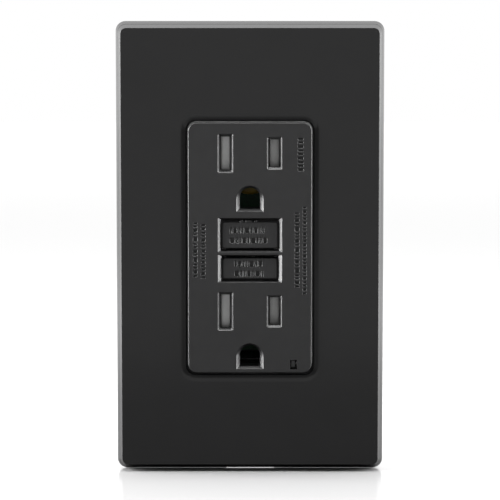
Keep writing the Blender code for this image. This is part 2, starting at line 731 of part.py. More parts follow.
def make_face_cover():
    edge_y = FACE_FRONT_Y + FACE_EDGE
    shell = loft([
        (rounded_rectangle(*shrunk(FACE_SIZE, FACE_EDGE), FACE_CORNER - FACE_EDGE), FACE_FRONT_Y),
        (rounded_rectangle(*FACE_SIZE, FACE_CORNER), edge_y),
        (rounded_rectangle(*FACE_SIZE, FACE_CORNER), FACE_REAR_Y),
    ])
    face = add_part("face_cover", shell, device_black())
    inner = rounded_rectangle(*shrunk(FACE_SIZE, FACE_SIDE_WALL), FACE_CORNER - FACE_SIDE_WALL)
    cut(face, loft([(inner, FACE_INNER_Y), (inner, FACE_REAR_Y + PAST)]))
    bosses = bmesh.new()
    for x, z in corners(ASSEMBLY_AT):
        rod_y(x, z, BOSS_RADIUS, FACE_INNER_Y - BITE, FACE_REAR_Y, bosses)
    join(face, bosses)
    holes = bmesh.new()
    for outlet, slot_z in OUTLET_Z.items():
        for kind, side in SIDES.items():
            mouth(rectangle, side * BLADE_X, slot_z, SLOT_SIZE[kind], SLOT_MOUTH[kind], SLOT_CHAMFER,
                  FACE_INNER_Y + PAST, holes)
        mouth(arched, 0.0, ground_z(outlet), GROUND_SIZE, GROUND_MOUTH, SLOT_CHAMFER,
              FACE_INNER_Y + PAST, holes, GROUND_MOUTH_DROP)
    window_x, window_z = INDICATOR
    box_around(window_x, window_z, *INDICATOR_WINDOW, FACE_FRONT_Y - PAST, FACE_INNER_Y + GAP, holes)
    for x, z in corners(ASSEMBLY_AT):
        rod_y(x, z, ASSEMBLY_SEAT_HOLE, ASSEMBLY_FRONT_Y - GAP, FACE_REAR_Y + PAST, holes)
    cut(face, holes)
    for (cap_z, width, height), (mouth_z, *outer) in ((RESET_CAP, RESET_MOUTH), (TEST_CAP, TEST_MOUTH)):
        inner = (width + 2 * GAP, height + 2 * GAP)
        slot = button_cutter(cap_z, inner, mouth_z, outer)
        cut(face, slot)


def button_cutter(cap_z, inner, mouth_z, outer):
    """A rectangular hole whose mouth opens out over the chamfer, and no further past the face."""
    return loft([
        (rectangle(*outer), FACE_FRONT_Y - PAST, 0.0, mouth_z),
        (rectangle(*outer), FACE_FRONT_Y + MOUTH_SKIM, 0.0, mouth_z),
        (rectangle(*inner), FACE_FRONT_Y + MOUTH_CHAMFER, 0.0, cap_z),
        (rectangle(*inner), FACE_INNER_Y + PAST, 0.0, cap_z),
    ])


def button_body(cap, flange_reach):
    """A button cap with a chamfered front edge, its flange behind the face, and a skirt."""
    z, width, height = cap
    front = loft([
        (rectangle(*shrunk((width, height), CAP_EDGE)), CAP_FRONT_Y, 0.0, z),
        (rectangle(width, height), CAP_FRONT_Y + CAP_EDGE, 0.0, z),
        (rectangle(width, height), FLANGE_FRONT_Y + BITE, 0.0, z),
    ])
    flange_low, flange_high = flange_reach
    flange = box_between(
        (-FLANGE_WIDTH / 2, FLANGE_FRONT_Y, flange_low), (FLANGE_WIDTH / 2, FLANGE_REAR_Y, flange_high))
    skirt = box_around(0.0, z, SKIRT_WIDTH, height - 2 * SKIRT_INSET, FLANGE_REAR_Y - BITE, SKIRT_REAR_Y)
    return front, flange, skirt


def make_reset_button():
    z, _, height = RESET_CAP
    front, flange, skirt = button_body(RESET_CAP, (z - height / 2, z + height / 2 + FLANGE_REACH))
    button = add_part("reset_button", front, device_black(), (0.0, 0.0, z))
    join(button, flange)
    join(button, skirt)
    cut(button, rod_y(0.0, z, PIN_RADIUS + GAP, PIN_FRONT_Y - GAP, SKIRT_REAR_Y + PAST))


def make_reset_pin():
    z = RESET_CAP[0]
    profile = [
        (0.0, 0.0),
        (PIN_RADIUS, 0.0),
        (PIN_RADIUS, PIN_FRONT_Y - PIN_SHOULDER_Y),
        (PIN_SHOULDER_RADIUS, PIN_FRONT_Y - PIN_SHOULDER_Y),
        (PIN_SHOULDER_RADIUS, PIN_FRONT_Y - PIN_REAR_Y + PIN_TIP),
        (PIN_RADIUS, PIN_FRONT_Y - PIN_REAR_Y),
        (0.0, PIN_FRONT_Y - PIN_REAR_Y),
    ]
    pin = turned("reset_pin", zinc_steel(), profile, FACING["-Y"], (0.0, PIN_FRONT_Y, z))
    shade_round(pin)


def make_test_button():
    z, _, height = TEST_CAP
    front, flange, skirt = button_body(TEST_CAP, (z - height / 2 - FLANGE_REACH, z + height / 2))
    button = add_part("test_button", front, device_black(), (0.0, 0.0, z))
    join(button, flange)
    join(button, skirt)
    join(button, rod_y(0.0, z, PIN_RADIUS, SKIRT_REAR_Y - BITE, TEST_STEM_REAR_Y))


def make_springs():
    for name, values in (("reset_spring", RESET_SPRING), ("test_spring", TEST_SPRING)):
        x, z, radius, wire, front, rear, turns = values
        coil_spring(name, radius, wire, rear - front, turns, FACING["+Y"], (x, front, z))
    radius, wire, low, high, turns = PLUNGER_SPRING
    coil_spring("plunger_spring", radius, wire, high - low, turns, FACING["+Z"], (0.0, SOLENOID_Y, low))
    radius, wire, half, turns = SHUTTER_SPRING
    for outlet, z in OUTLET_Z.items():
        start = (-half, SHUTTER_Y, z)
        coil_spring(f"shutter_spring_{outlet}", radius, wire, 2 * half, turns, FACING["+X"], start)


def make_shutters():
    """A shutter behind each blade slot: a slider whose outer front corner is a ramp."""
    for outlet, z in OUTLET_Z.items():
        for kind, side in SIDES.items():
            width, depth, height = SHUTTER_SIZE[kind]
            x = side * BLADE_X
            slab = box_around(x, z, width, height, SHUTTER_Y - depth / 2, SHUTTER_Y + depth / 2)
            corner = [v for v in slab.verts if v.co.y < SHUTTER_Y and side * (v.co.x - x) > 0]
            for vertex in corner:
                vertex.co.y += SHUTTER_RAMP
            add_part(f"shutter_{outlet}_{kind}", slab, shutter_grey(), (x, SHUTTER_Y, z))


def make_light_pipe():
    x, z = INDICATOR
    width, depth, height = PIPE_HEAD
    head = box_around(x, z, width, height, PIPE_HEAD_Y - depth / 2, PIPE_HEAD_Y + depth / 2)
    pipe = add_part("light_pipe", head, clear_lens(), (x, 0.0, z))
    join(pipe, rod_y(x, PIPE_Z, PIPE_RADIUS, PIPE_HEAD_Y, PIPE_REAR_Y, steps=PIPE_STEPS))


def make_indicator_lamp():
    length = LAMP_REAR_Y - LAMP_FRONT_Y
    dome = []
    for step in range(LAMP_DOME_STEPS + 1):
        angle = math.radians(90) * step / LAMP_DOME_STEPS
        dome.append((LAMP_RADIUS * math.sin(angle), LAMP_RADIUS * (math.cos(angle) - 1.0)))
    dome[0] = (0.0, 0.0)
    profile = dome + [(LAMP_RADIUS, -length), (0.0, -length)]
    place = (INDICATOR[0], LAMP_FRONT_Y, PIPE_Z)
    shade_round(turned("indicator_lamp", clear_lens(), profile, FACING["-Y"], place))


# ---- mounting strap -----------------------------------------------------------------------------

def make_mounting_strap():
    middle = loft([
        (rounded_rectangle(*STRAP_MIDDLE, STRAP_CORNER), -STRAP_THICKNESS),
        (rounded_rectangle(*STRAP_MIDDLE, STRAP_CORNER), 0.0),
    ])
    strap = add_part("mounting_strap", middle, zinc_steel())
    ear_z = STRAP_EAR_TOP - STRAP_EAR[1] / 2
    for side in (1, -1):
        neck_z = side * (STRAP_MIDDLE[1] / 2 + STRAP_NECK_OUT)
        join(strap, box_around(0.0, neck_z, *STRAP_NECK, -STRAP_THICKNESS, 0.0))
        ear = rounded_rectangle(*STRAP_EAR, STRAP_CORNER)
        join(strap, loft([(ear, -STRAP_THICKNESS, 0.0, side * ear_z), (ear, 0.0, 0.0, side * ear_z)]))
    tab_low, tab_high = GROUND_TAB_X
    join(strap, box_between(
        (tab_low, GROUND_TAB_SINK - STRAP_THICKNESS, GROUND_TAB_Z[0]),
        (tab_high, GROUND_TAB_REAR_Y, GROUND_TAB_Z[1])))
    windows = bmesh.new()
    front, rear = -STRAP_THICKNESS - PAST, PAST
    for outlet, z in OUTLET_Z.items():
        box_around(0.0, z, *BLADE_WINDOW, front, rear, windows)
        box_around(0.0, ground_z(outlet), *GROUND_CLEARANCE, front, rear, windows)
    box_around(0.0, BUTTON_WINDOW_Z, *BUTTON_WINDOW, front, rear, windows)
    slot = rounded_rectangle(*BOX_SLOT, BOX_SLOT_CORNER)
    for side in (1, -1):
        z = side * BOX_SCREW_Z
        loft([(slot, front, 0.0, z), (slot, rear, 0.0, z)], windows)
        rod_y(0.0, side * PLATE_SCREW_Z, PLATE_HOLE_RADIUS, front, rear, windows)
    for x, z in corners(ASSEMBLY_AT):
        rod_y(x, z, ASSEMBLY_HOLE, front, rear, windows)
    rod_y(INDICATOR[0], PIPE_Z, PIPE_RADIUS + PIPE_CLEARANCE, front, rear, windows)
    cut(strap, windows)
    x, y = GROUND_SCREW_AT
    middle_z = sum(GROUND_TAB_Z) / 2
    cut(strap, rod('Z', (x, y, middle_z), TERMINAL_HOLE, length=2 * BORE_REACH))


def make_box_screws():
    front, rear = BOX_SCREW_HEAD_Y
    profile = [
        (0.0, 0.0),
        *BOX_SCREW_CROWN,
        (BOX_SCREW_HEAD, front - rear),
        (SCREW_SHANK, front - rear),
        (SCREW_SHANK, front - BOX_SCREW_END_Y),
        (0.0, front - BOX_SCREW_END_Y),
    ]
    for label, side in (("top", 1), ("bottom", -1)):
        z = side * BOX_SCREW_Z
        screw = turned(f"mounting_screw_{label}", zinc_steel(), profile, FACING["-Y"], (0.0, front, z))
        shade_round(screw)
        cut(screw, front_slot(z, front, BOX_SCREW_SLOT))
        outer, inner = RETAINER
        near, far = RETAINER_Y
        washer = [(outer, far - near), (outer, 0.0), (inner, 0.0), (inner, far - near)]
        shade_round(turned(f"screw_retainer_{label}", retainer_red(), washer, FACING["+Y"], (0.0, near, z)))


# ---- middle housing and contacts ----------------------------------------------------------------

def make_middle_housing():
    outline = rounded_rectangle(*BODY_SIZE, BODY_CORNER)
    shell = loft([(outline, MIDDLE_FRONT_Y), (outline, MIDDLE_REAR_Y)])
    housing = add_part("middle_housing", shell, housing_thermoplastic())
    inner = rounded_rectangle(*shrunk(BODY_SIZE, BODY_WALL), BODY_CORNER - BODY_WALL)
    cut(housing, loft([(inner, MIDDLE_FRONT_Y - PAST), (inner, MIDDLE_FLOOR_Y)]))
    posts = bmesh.new()
    for x, z in corners(ASSEMBLY_AT):
        rod_y(x, z, POST_RADIUS, MIDDLE_FRONT_Y, MIDDLE_FLOOR_Y + BITE, posts)
    join(housing, posts)
    holes = bmesh.new()
    front, rear = MIDDLE_FLOOR_Y - PAST, MIDDLE_REAR_Y + PAST
    for outlet, z in OUTLET_Z.items():
        for side in SIDES.values():
            box_around(side * BLADE_X, z, *FLOOR_BLADE_WINDOW, front, rear, holes)
        box_around(0.0, ground_z(outlet), *GROUND_CLEARANCE, front, rear, holes)
    for side in SIDES.values():
        rod_y(side * FIXED_CONTACT_AT[0], FIXED_CONTACT_AT[1], FIXED_CONTACT_HOLE, front, rear, holes)
    rod_y(0.0, RESET_CAP[0], FLOOR_PIN_HOLE, front, rear, holes)
    rod_y(INDICATOR[0], PIPE_Z, FLOOR_PIPE_HOLE, front, rear, holes)
    for x, z in corners(ASSEMBLY_AT):
        rod_y(x, z, ASSEMBLY_HOLE, MIDDLE_FRONT_Y - PAST, rear, holes)
    cut(housing, holes)


def make_contact_bars():
    """A strip along each side, with a fixed contact and a square grip for each blade."""
    for kind, side in SIDES.items():
        finish = contact_brass() if kind == "hot" else nickel_brass()
        low_z = OUTLET_Z["lower"] - GRIP_SIZE[1] / 2
        high_z = OUTLET_Z["upper"] + GRIP_SIZE[1] / 2
        xs = sorted(side * x for x in BAR_X)
        strip = box_between((xs[0], BAR_Y[0], low_z), (xs[1], BAR_Y[1], high_z))
        bar = add_part(f"{kind}_contact_bar", strip, finish)
        for z in OUTLET_Z.values():
            join(bar, box_around(side * BLADE_X, z, *GRIP_SIZE, *GRIP_Y))
            reach = sorted((side * (BLADE_X + GRIP_SIZE[0] / 2 - BITE), side * (BAR_X[0] + BITE)))
            tab_z = (z - GRIP_TAB_HEIGHT / 2, z + GRIP_TAB_HEIGHT / 2)
            join(bar, box_between(
                (reach[0], GRIP_TAB_Y[0], tab_z[0]), (reach[1], GRIP_TAB_Y[1], tab_z[1])))
            cut(bar, box_around(side * BLADE_X, z, *shrunk(GRIP_SIZE, GRIP_WALL),
                                GRIP_Y[0] - PAST, GRIP_Y[1] + PAST))
        contact_x, contact_z = FIXED_CONTACT_AT
        reach = sorted((side * contact_x, side * (BAR_X[0] + BITE)))
        join(bar, box_between(
            (reach[0], FIXED_CONTACT_Y[0], contact_z - FIXED_LUG_HALF),
            (reach[1], FIXED_LUG_REAR_Y, contact_z + FIXED_LUG_HALF)))
        rivet_front = FIXED_CONTACT_Y[0] + FIXED_CONTACT_SINK
        join(bar, rod_y(side * contact_x, contact_z, FIXED_CONTACT_RADIUS, rivet_front, FIXED_CONTACT_Y[1],
                        steps=RIVET_STEPS))


def make_ground_contacts():
    """A forked plate behind the strap at each ground hole, with two leaves that grip the pin."""
    near, far = GROUND_PLATE_Y
    for outlet in OUTLET_Z:
        z = ground_z(outlet)
        low, high = (z + reach for reach in GROUND_PLATE_REACH)
        half = GROUND_PLATE_WIDTH / 2
        plate = box_between((-half, near, low), (half, far, high))
        contact = add_part(f"ground_contact_{outlet}", plate, nickel_brass(), (0.0, near, z))
        cut(contact, box_between(
            (-GROUND_LEAF_X[0], near - PAST, low - PAST),
            (GROUND_LEAF_X[0], far + PAST, z + GROUND_PLATE_NOTCH)))
        for side in (-1, 1):
            xs = sorted(side * x for x in GROUND_LEAF_X)
            join(contact, box_between(
                (xs[0], far - BITE, z - GROUND_LEAF_HEIGHT / 2),
                (xs[1], GROUND_LEAF_REAR_Y, z + GROUND_LEAF_HEIGHT / 2)))


def make_test_contact():
    add_part("test_contact", box_between(TEST_CONTACT_LOW, TEST_CONTACT_HIGH), contact_brass())


# ---- rear body and trip mechanism ---------------------------------------------------------------

def make_rear_body():
    outline = rounded_rectangle(*BODY_SIZE, BODY_CORNER)
    back = rounded_rectangle(*shrunk(BODY_SIZE, REAR_TAPER), BODY_CORNER)
    shell = loft([(outline, REAR_FRONT_Y), (outline, REAR_BACK_Y - REAR_TAPER), (back, REAR_BACK_Y)])
    body = add_part("rear_body", shell, housing_thermoplastic())
    inner = rounded_rectangle(*shrunk(BODY_SIZE, BODY_WALL), BODY_CORNER - BODY_WALL)
    cut(body, loft([(inner, REAR_FRONT_Y - PAST), (inner, REAR_FLOOR_Y)]))
    posts = bmesh.new()
    for x, z in corners(ASSEMBLY_AT):
        rod_y(x, z, REAR_POST_RADIUS, REAR_FRONT_Y, REAR_FLOOR_Y + BITE, posts)
    join(body, posts)
    holes = bmesh.new()
    for x, z in corners(ASSEMBLY_AT):
        rod_y(x, z, ASSEMBLY_HOLE, REAR_FRONT_Y - PAST, REAR_BACK_Y - ASSEMBLY_SKIN, holes)
    for z in TERMINAL_Z.values():
        for side in (-1, 1):
            wall_x = side * (BODY_SIZE[0] / 2 - BODY_WALL / 2)
            depth, height = TERMINAL_WINDOW
            box_between(
                (wall_x - WINDOW_REACH, TERMINAL_Y - depth / 2, z - height / 2),
                (wall_x + WINDOW_REACH, TERMINAL_Y + depth / 2, z + height / 2), holes)
            for offset in (-WIRE_HOLE[1], WIRE_HOLE[1]):
                rod_y(side * WIRE_HOLE[0], z + offset, WIRE_HOLE_RADIUS, REAR_FLOOR_Y - PAST,
                      REAR_BACK_Y + PAST, holes, steps=WIRE_HOLE_STEPS)
    cut(body, holes)
    counterbores = bmesh.new()
    for x, z in corners(ASSEMBLY_AT):
        rod_y(x, z, ASSEMBLY_HEAD_RADIUS + GAP, ASSEMBLY_HEAD_Y - GAP, REAR_BACK_Y + PAST, counterbores)
    cut(body, counterbores)


def make_assembly_screws():
    shank = ASSEMBLY_FRONT_Y - ASSEMBLY_HEAD_Y
    profile = [
        (0.0, ASSEMBLY_HEAD_HEIGHT),
        (ASSEMBLY_HEAD_RADIUS * ASSEMBLY_CROWN[0], ASSEMBLY_HEAD_HEIGHT),
        (ASSEMBLY_HEAD_RADIUS, ASSEMBLY_HEAD_HEIGHT * ASSEMBLY_CROWN[1]),
        (ASSEMBLY_HEAD_RADIUS, 0.0),
        (ASSEMBLY_SHANK, 0.0),
        (ASSEMBLY_SHANK, shank),
        (0.0, shank),
    ]
    labels = ("upper_left", "upper_right", "lower_left", "lower_right")
    for label, (x, z) in zip(labels, corners(ASSEMBLY_AT)):
        place = (x, ASSEMBLY_HEAD_Y, z)
        screw = turned(f"assembly_screw_{label}", zinc_steel(), profile, FACING["+Y"], place)
        shade_round(screw)
        head_y = ASSEMBLY_HEAD_Y + ASSEMBLY_HEAD_HEIGHT
        length, width, depth = ASSEMBLY_SLOT
        cut(screw, box_around(x, z, length, width, head_y - depth, head_y + PAST))


def make_contact_arms():
    for kind, side in SIDES.items():
        finish = contact_brass() if kind == "hot" else nickel_brass()
        xs = sorted(side * x for x in ARM_X)
        pivot = (side * ARM_PIVOT[0], ARM_PIVOT[1], ARM_PIVOT[2])
        strip = box_between((xs[0], ARM_Y[0], ARM_Z[0]), (xs[1], ARM_Y[1], ARM_Z[1]))
        arm = add_part(f"{kind}_contact_arm", strip, finish, pivot)
        contact_x, contact_z = FIXED_CONTACT_AT
        join(arm, rod_y(side * contact_x, contact_z, ARM_PAD_RADIUS, *ARM_PAD_Y, steps=RIVET_STEPS))


def make_latch():
    centre_z = RESET_CAP[0]
    origin = (0.0, (BLOCK_LOW[1] + BLOCK_HIGH[1]) / 2, centre_z)
    block = add_part("latch_block", box_between(BLOCK_LOW, BLOCK_HIGH), bobbin_white(), origin)
    join(block, box_between(BLOCK_WING_LOW, BLOCK_WING_HIGH))
    cut(block, box_between(BLOCK_SLOT_LOW, BLOCK_SLOT_HIGH))
    cut(block, rod_y(0.0, centre_z, BLOCK_PIN_HOLE, BLOCK_WING_LOW[1] - PAST, BLOCK_HIGH[1] + PAST))
    plate = add_part("latch_plate", box_between(LATCH_LOW, LATCH_HIGH), zinc_steel(), origin)
    cut(plate, box_between(
        (-LATCH_HOLE_X, LATCH_LOW[1] - PAST, LATCH_HOLE_Z[0]),
        (LATCH_HOLE_X, LATCH_HIGH[1] + PAST, LATCH_HOLE_Z[1])))


def make_solenoid():
    low, high = BOBBIN_Z
    flange_radius, flange_height = BOBBIN_FLANGE
    height = high - low
    spool = [
        (flange_radius, height),
        (flange_radius, height - flange_height),
        (BOBBIN_BARREL, height - flange_height),
        (BOBBIN_BARREL, flange_height),
        (flange_radius, flange_height),
        (flange_radius, 0.0),
        (BOBBIN_BORE, 0.0),
        (BOBBIN_BORE, height),
    ]
    foot = (0.0, SOLENOID_Y, low)
    shade_round(turned("solenoid_bobbin", bobbin_white(), spool, FACING["+Z"], foot))
    inner, outer = COIL_RADII
    near, far = flange_height + GAP, height - flange_height - GAP
    winding = [(outer, far), (outer, near), (inner, near), (inner, far)]
    shade_round(turned("solenoid_coil", winding_copper(), winding, FACING["+Z"], foot))
    frame = add_part(
        "solenoid_frame", box_between(SOLENOID_FRAME_LOW, SOLENOID_FRAME_HIGH), zinc_steel())
    wall, back = SOLENOID_FRAME_WALL, SOLENOID_FRAME_BACK
    cut(frame, box_between(
        (SOLENOID_FRAME_LOW[0] - PAST, SOLENOID_FRAME_LOW[1] - PAST, SOLENOID_FRAME_LOW[2] + wall),
        (SOLENOID_FRAME_HIGH[0] + PAST, SOLENOID_FRAME_HIGH[1] - back, SOLENOID_FRAME_HIGH[2] - wall)))
    hole_z = SOLENOID_FRAME_HIGH[2]
    cut(frame, rod('Z', (0.0, SOLENOID_Y, hole_z), SOLENOID_FRAME_HOLE, length=2 * BORE_REACH))


def make_plunger():
    low, high = PLUNGER_Z
    collar_radius, collar_low, collar_high = PLUNGER_COLLAR
    profile = [
        (0.0, high - low),
        (PLUNGER_RADIUS, high - low),
        (PLUNGER_RADIUS, collar_high - low),
        (collar_radius, collar_high - low),
        (collar_radius, collar_low - low),
        (PLUNGER_RADIUS, collar_low - low),
        (PLUNGER_RADIUS, 0.0),
        (0.0, 0.0),
    ]
    shade_round(turned("plunger", zinc_steel(), profile, FACING["+Z"], (0.0, SOLENOID_Y, low)))


def make_sense_coils():
    inner, outer = SENSE_RADII
    for name, (near, far) in SENSE_Y.items():
        ring = [
            (outer - SENSE_EDGE, far - near),
            (outer, far - near - SENSE_EDGE),
            (outer, SENSE_EDGE),
            (outer - SENSE_EDGE, 0.0),
            (inner, 0.0),
            (inner, far - near),
        ]
        shade_round(turned(name, coil_wrap(), ring, FACING["+Y"], (0.0, near, SENSE_Z)))


def make_circuit_board():
    near, far = BOARD_Y
    half_x, half_z = BOARD_HALF
    board = add_part(
        "circuit_board", box_between((-half_x, near, -half_z), (half_x, far, half_z)), board_green())
    notches = bmesh.new()
    for sx in (-1, 1):
        for sz in (-1, 1):
            xs = sorted((sx * BOARD_NOTCH_X, sx * (half_x + PAST)))
            zs = sorted(sz * z for z in BOARD_NOTCH_Z)
            box_between((xs[0], near - PAST, zs[0]), (xs[1], far + PAST, zs[1]), notches)
    cut(board, notches)


# ---- terminals ----------------------------------------------------------------------------------

def screw_profile(head, head_height, shank, length):
    return [
        (0.0, head_height),
        (head * SCREW_CROWN[0], head_height),
        (head, head_height - SCREW_CROWN[1]),
        (head, 0.0),
        (shank, 0.0),
        (shank, -length),
        (0.0, -length),
    ]


def terminal_slab(xs, z, depth, height):
    return box_between(
        (xs[0], TERMINAL_Y - depth / 2, z - height / 2), (xs[1], TERMINAL_Y + depth / 2, z + height / 2))


def make_side_terminals():
    profile = screw_profile(SCREW_HEAD, SCREW_HEAD_HEIGHT, SCREW_SHANK, SCREW_LENGTH)
    slot_width, slot_depth = DRIVER_SLOT
    head_top = SCREW_HEAD_X + SCREW_HEAD_HEIGHT
    for end, z in TERMINAL_Z.items():
        for kind, side in SIDES.items():
            finish = contact_brass() if kind == "hot" else nickel_brass()
            depth, height = TERMINAL_SIZE
            xs = sorted(side * x for x in TERMINAL_X)
            slab = terminal_slab(xs, z, depth, height)
            plate = add_part(f"terminal_{end}_{kind}", slab, finish)
            cut(plate, rod('X', (side * TERMINAL_X[0], TERMINAL_Y, z), TERMINAL_HOLE, length=2 * BORE_REACH))
            place = (side * SCREW_HEAD_X, TERMINAL_Y, z)
            facing = FACING["+X"] if side > 0 else FACING["-X"]
            screw = turned(f"terminal_screw_{end}_{kind}", finish, profile, facing, place)
            shade_round(screw)
            ends = sorted((side * (head_top - slot_depth), side * (head_top + PAST)))
            reach = SCREW_HEAD + PAST
            cut(screw, box_between(
                (ends[0], TERMINAL_Y - reach, z - slot_width / 2),
                (ends[1], TERMINAL_Y + reach, z + slot_width / 2)))
            depth, height = CLAMP_SIZE
            xs = sorted(side * x for x in CLAMP_X)
            slab = terminal_slab(xs, z, depth, height)
            clamp = add_part(f"terminal_clamp_{end}_{kind}", slab, zinc_steel(),
                             (side * CLAMP_X[1], TERMINAL_Y, z))
            cut(clamp, rod('X', (side * CLAMP_X[0], TERMINAL_Y, z), CLAMP_HOLE, length=2 * BORE_REACH))


def make_ground_terminal():
    x, y = GROUND_SCREW_AT
    hexagon = rod('Z', (x, y, GROUND_HEAD_Z - GROUND_HEAD_HEIGHT / 2), GROUND_HEAD_RADIUS,
                  length=GROUND_HEAD_HEIGHT, steps=6)
    screw = add_part("ground_screw", hexagon, ground_green(), (x, y, GROUND_HEAD_Z))
    low = GROUND_HEAD_Z - BITE
    join(screw, rod('Z', (x, y, (low + GROUND_SHANK_TOP) / 2), SCREW_SHANK, length=GROUND_SHANK_TOP - low))
    slot_width, slot_depth = DRIVER_SLOT
    foot = GROUND_HEAD_Z - GROUND_HEAD_HEIGHT
    reach = GROUND_HEAD_RADIUS + PAST
    cut(screw, box_between((x - reach, y - slot_width / 2, foot - PAST),
                           (x + reach, y + slot_width / 2, foot + slot_depth)))
    near, far = GROUND_CLAMP_Z
    width, depth = GROUND_CLAMP_SIZE
    slab = box_between((x - width / 2, y - depth / 2, near), (x + width / 2, y + depth / 2, far))
    clamp = add_part("ground_clamp", slab, zinc_steel(), (x, y, near))
    cut(clamp, rod('Z', (x, y, near), CLAMP_HOLE, length=2 * BORE_REACH))


# ---- the outlet ---------------------------------------------------------------------------------

def make_outlet():
    make_wall_plate()
    make_snap_frame()
    make_plate_screws()
    make_face_cover()
    make_reset_button()
    make_reset_pin()
    make_test_button()
    make_shutters()
    make_light_pipe()
    make_indicator_lamp()
    make_springs()
    make_mounting_strap()
    make_box_screws()
    make_middle_housing()
    make_contact_bars()
    make_ground_contacts()
    make_test_contact()
    make_rear_body()
    make_assembly_screws()
    make_contact_arms()
    make_latch()
    make_solenoid()
    make_plunger()
    make_sense_coils()
    make_circuit_board()
    make_side_terminals()
    make_ground_terminal()


clear_scene()
PARTS = make_collection(OBJECT_NAME)
CUTTERS = make_collection("cutters")
make_outlet()
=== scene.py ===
"""Looks of the duplex wall outlet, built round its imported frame.

Frame: metres, +X right, +Y into the wall, +Z up.  The room and the camera are on the -Y side.
Places come from the frame's nodes; what a box can't say, such as a chamfer, is named below.
"""

import json
import math

import bmesh
import bpy
from mathutils import Matrix, Vector

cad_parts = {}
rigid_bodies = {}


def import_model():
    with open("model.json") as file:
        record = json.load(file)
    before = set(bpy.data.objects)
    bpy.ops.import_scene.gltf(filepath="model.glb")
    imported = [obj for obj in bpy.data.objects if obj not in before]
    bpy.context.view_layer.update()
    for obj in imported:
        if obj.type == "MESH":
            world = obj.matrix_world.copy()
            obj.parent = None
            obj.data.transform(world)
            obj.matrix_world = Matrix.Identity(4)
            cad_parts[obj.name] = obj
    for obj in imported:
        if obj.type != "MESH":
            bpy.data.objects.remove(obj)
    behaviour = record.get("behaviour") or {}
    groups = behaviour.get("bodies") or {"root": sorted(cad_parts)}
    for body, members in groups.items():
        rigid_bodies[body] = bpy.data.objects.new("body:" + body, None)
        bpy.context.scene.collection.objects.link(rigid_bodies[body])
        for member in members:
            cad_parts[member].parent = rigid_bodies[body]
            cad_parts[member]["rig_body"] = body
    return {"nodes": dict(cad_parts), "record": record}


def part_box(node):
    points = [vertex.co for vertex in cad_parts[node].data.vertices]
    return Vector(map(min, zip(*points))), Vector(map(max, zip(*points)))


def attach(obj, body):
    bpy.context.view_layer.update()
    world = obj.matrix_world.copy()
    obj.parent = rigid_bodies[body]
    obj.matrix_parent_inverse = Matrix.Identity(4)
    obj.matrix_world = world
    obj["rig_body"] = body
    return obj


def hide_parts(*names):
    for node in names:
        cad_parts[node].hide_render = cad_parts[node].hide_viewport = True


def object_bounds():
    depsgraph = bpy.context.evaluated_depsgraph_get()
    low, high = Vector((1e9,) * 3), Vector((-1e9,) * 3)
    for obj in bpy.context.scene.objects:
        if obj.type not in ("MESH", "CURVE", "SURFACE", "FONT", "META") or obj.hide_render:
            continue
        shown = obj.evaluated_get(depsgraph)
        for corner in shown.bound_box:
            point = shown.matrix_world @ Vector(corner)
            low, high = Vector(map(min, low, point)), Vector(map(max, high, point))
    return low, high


MM = 0.001
PAST = 1.0 * MM  # how far a cutter runs past what it cuts
BITE = 0.15 * MM  # how far two welded shapes overlap
GAP = 0.3 * MM  # clearance that the frame keeps between neighbours
SKIM = 0.01 * MM  # how deep a cutter's widest ring goes into a face


def mm(*sizes):
    """Millimetres in metres."""
    return tuple(size * MM for size in sizes)


# Cover plate
PLATE_FRONT = mm(68.4, 116.3)
PLATE_CORNERS = mm(1.6, 2.6)  # at the front and at the wall
PLATE_WALLS = mm(2.0, 1.8)  # front wall, side wall
PLATE_EDGE = 0.04 * MM
PLATE_LEAST_CORNER = 0.3 * MM
PLATE_SEAM = mm(3.0, 0.10, 0.12)  # distance from the wall, half width, depth
PLATE_RIM = 0.25 * MM
PLATE_CHAMFER = 0.4 * MM  # inside, where the front wall meets the sides
OPENING = mm(34.15, 68.0)
OPENING_DROP = 0.1 * MM
OPENING_CORNER = 2.6 * MM
LIP = mm(1.8, 0.35)  # reach and depth of the dished lip
HOOK_AT = mm(26.5, 45.6)
HOOK = mm(5.0, 1.2, 2.6)  # width, thickness, length
HOOK_NUB = mm(0.7, 0.6)  # depth, height
HOOK_FOOT = 0.3 * MM  # fillet at its root
HOOK_EDGE = 0.1 * MM
PRY_NOTCH = mm(13.0, 3.8, 0.16, 0.15)  # width, depth, height, edge

# Snap frame
FRAME_PLATE = 1.8 * MM
FRAME_CORNER = 3.0 * MM
FRAME_RIM = 1.5 * MM
FRAME_OPENING = mm(33.45, 67.2)
FRAME_SLOT = mm(6.2, 2.7, 0.5)  # width, height, corner
FRAME_HOLE = 3.5 * MM
FRAME_SINK = mm(3.6, 1.6)  # radii of the countersinks, front and rear
FRAME_RIB = mm(9.0, 1.1, 0.9)  # length, width, height
FRAME_RIB_STEP = 15.0 * MM

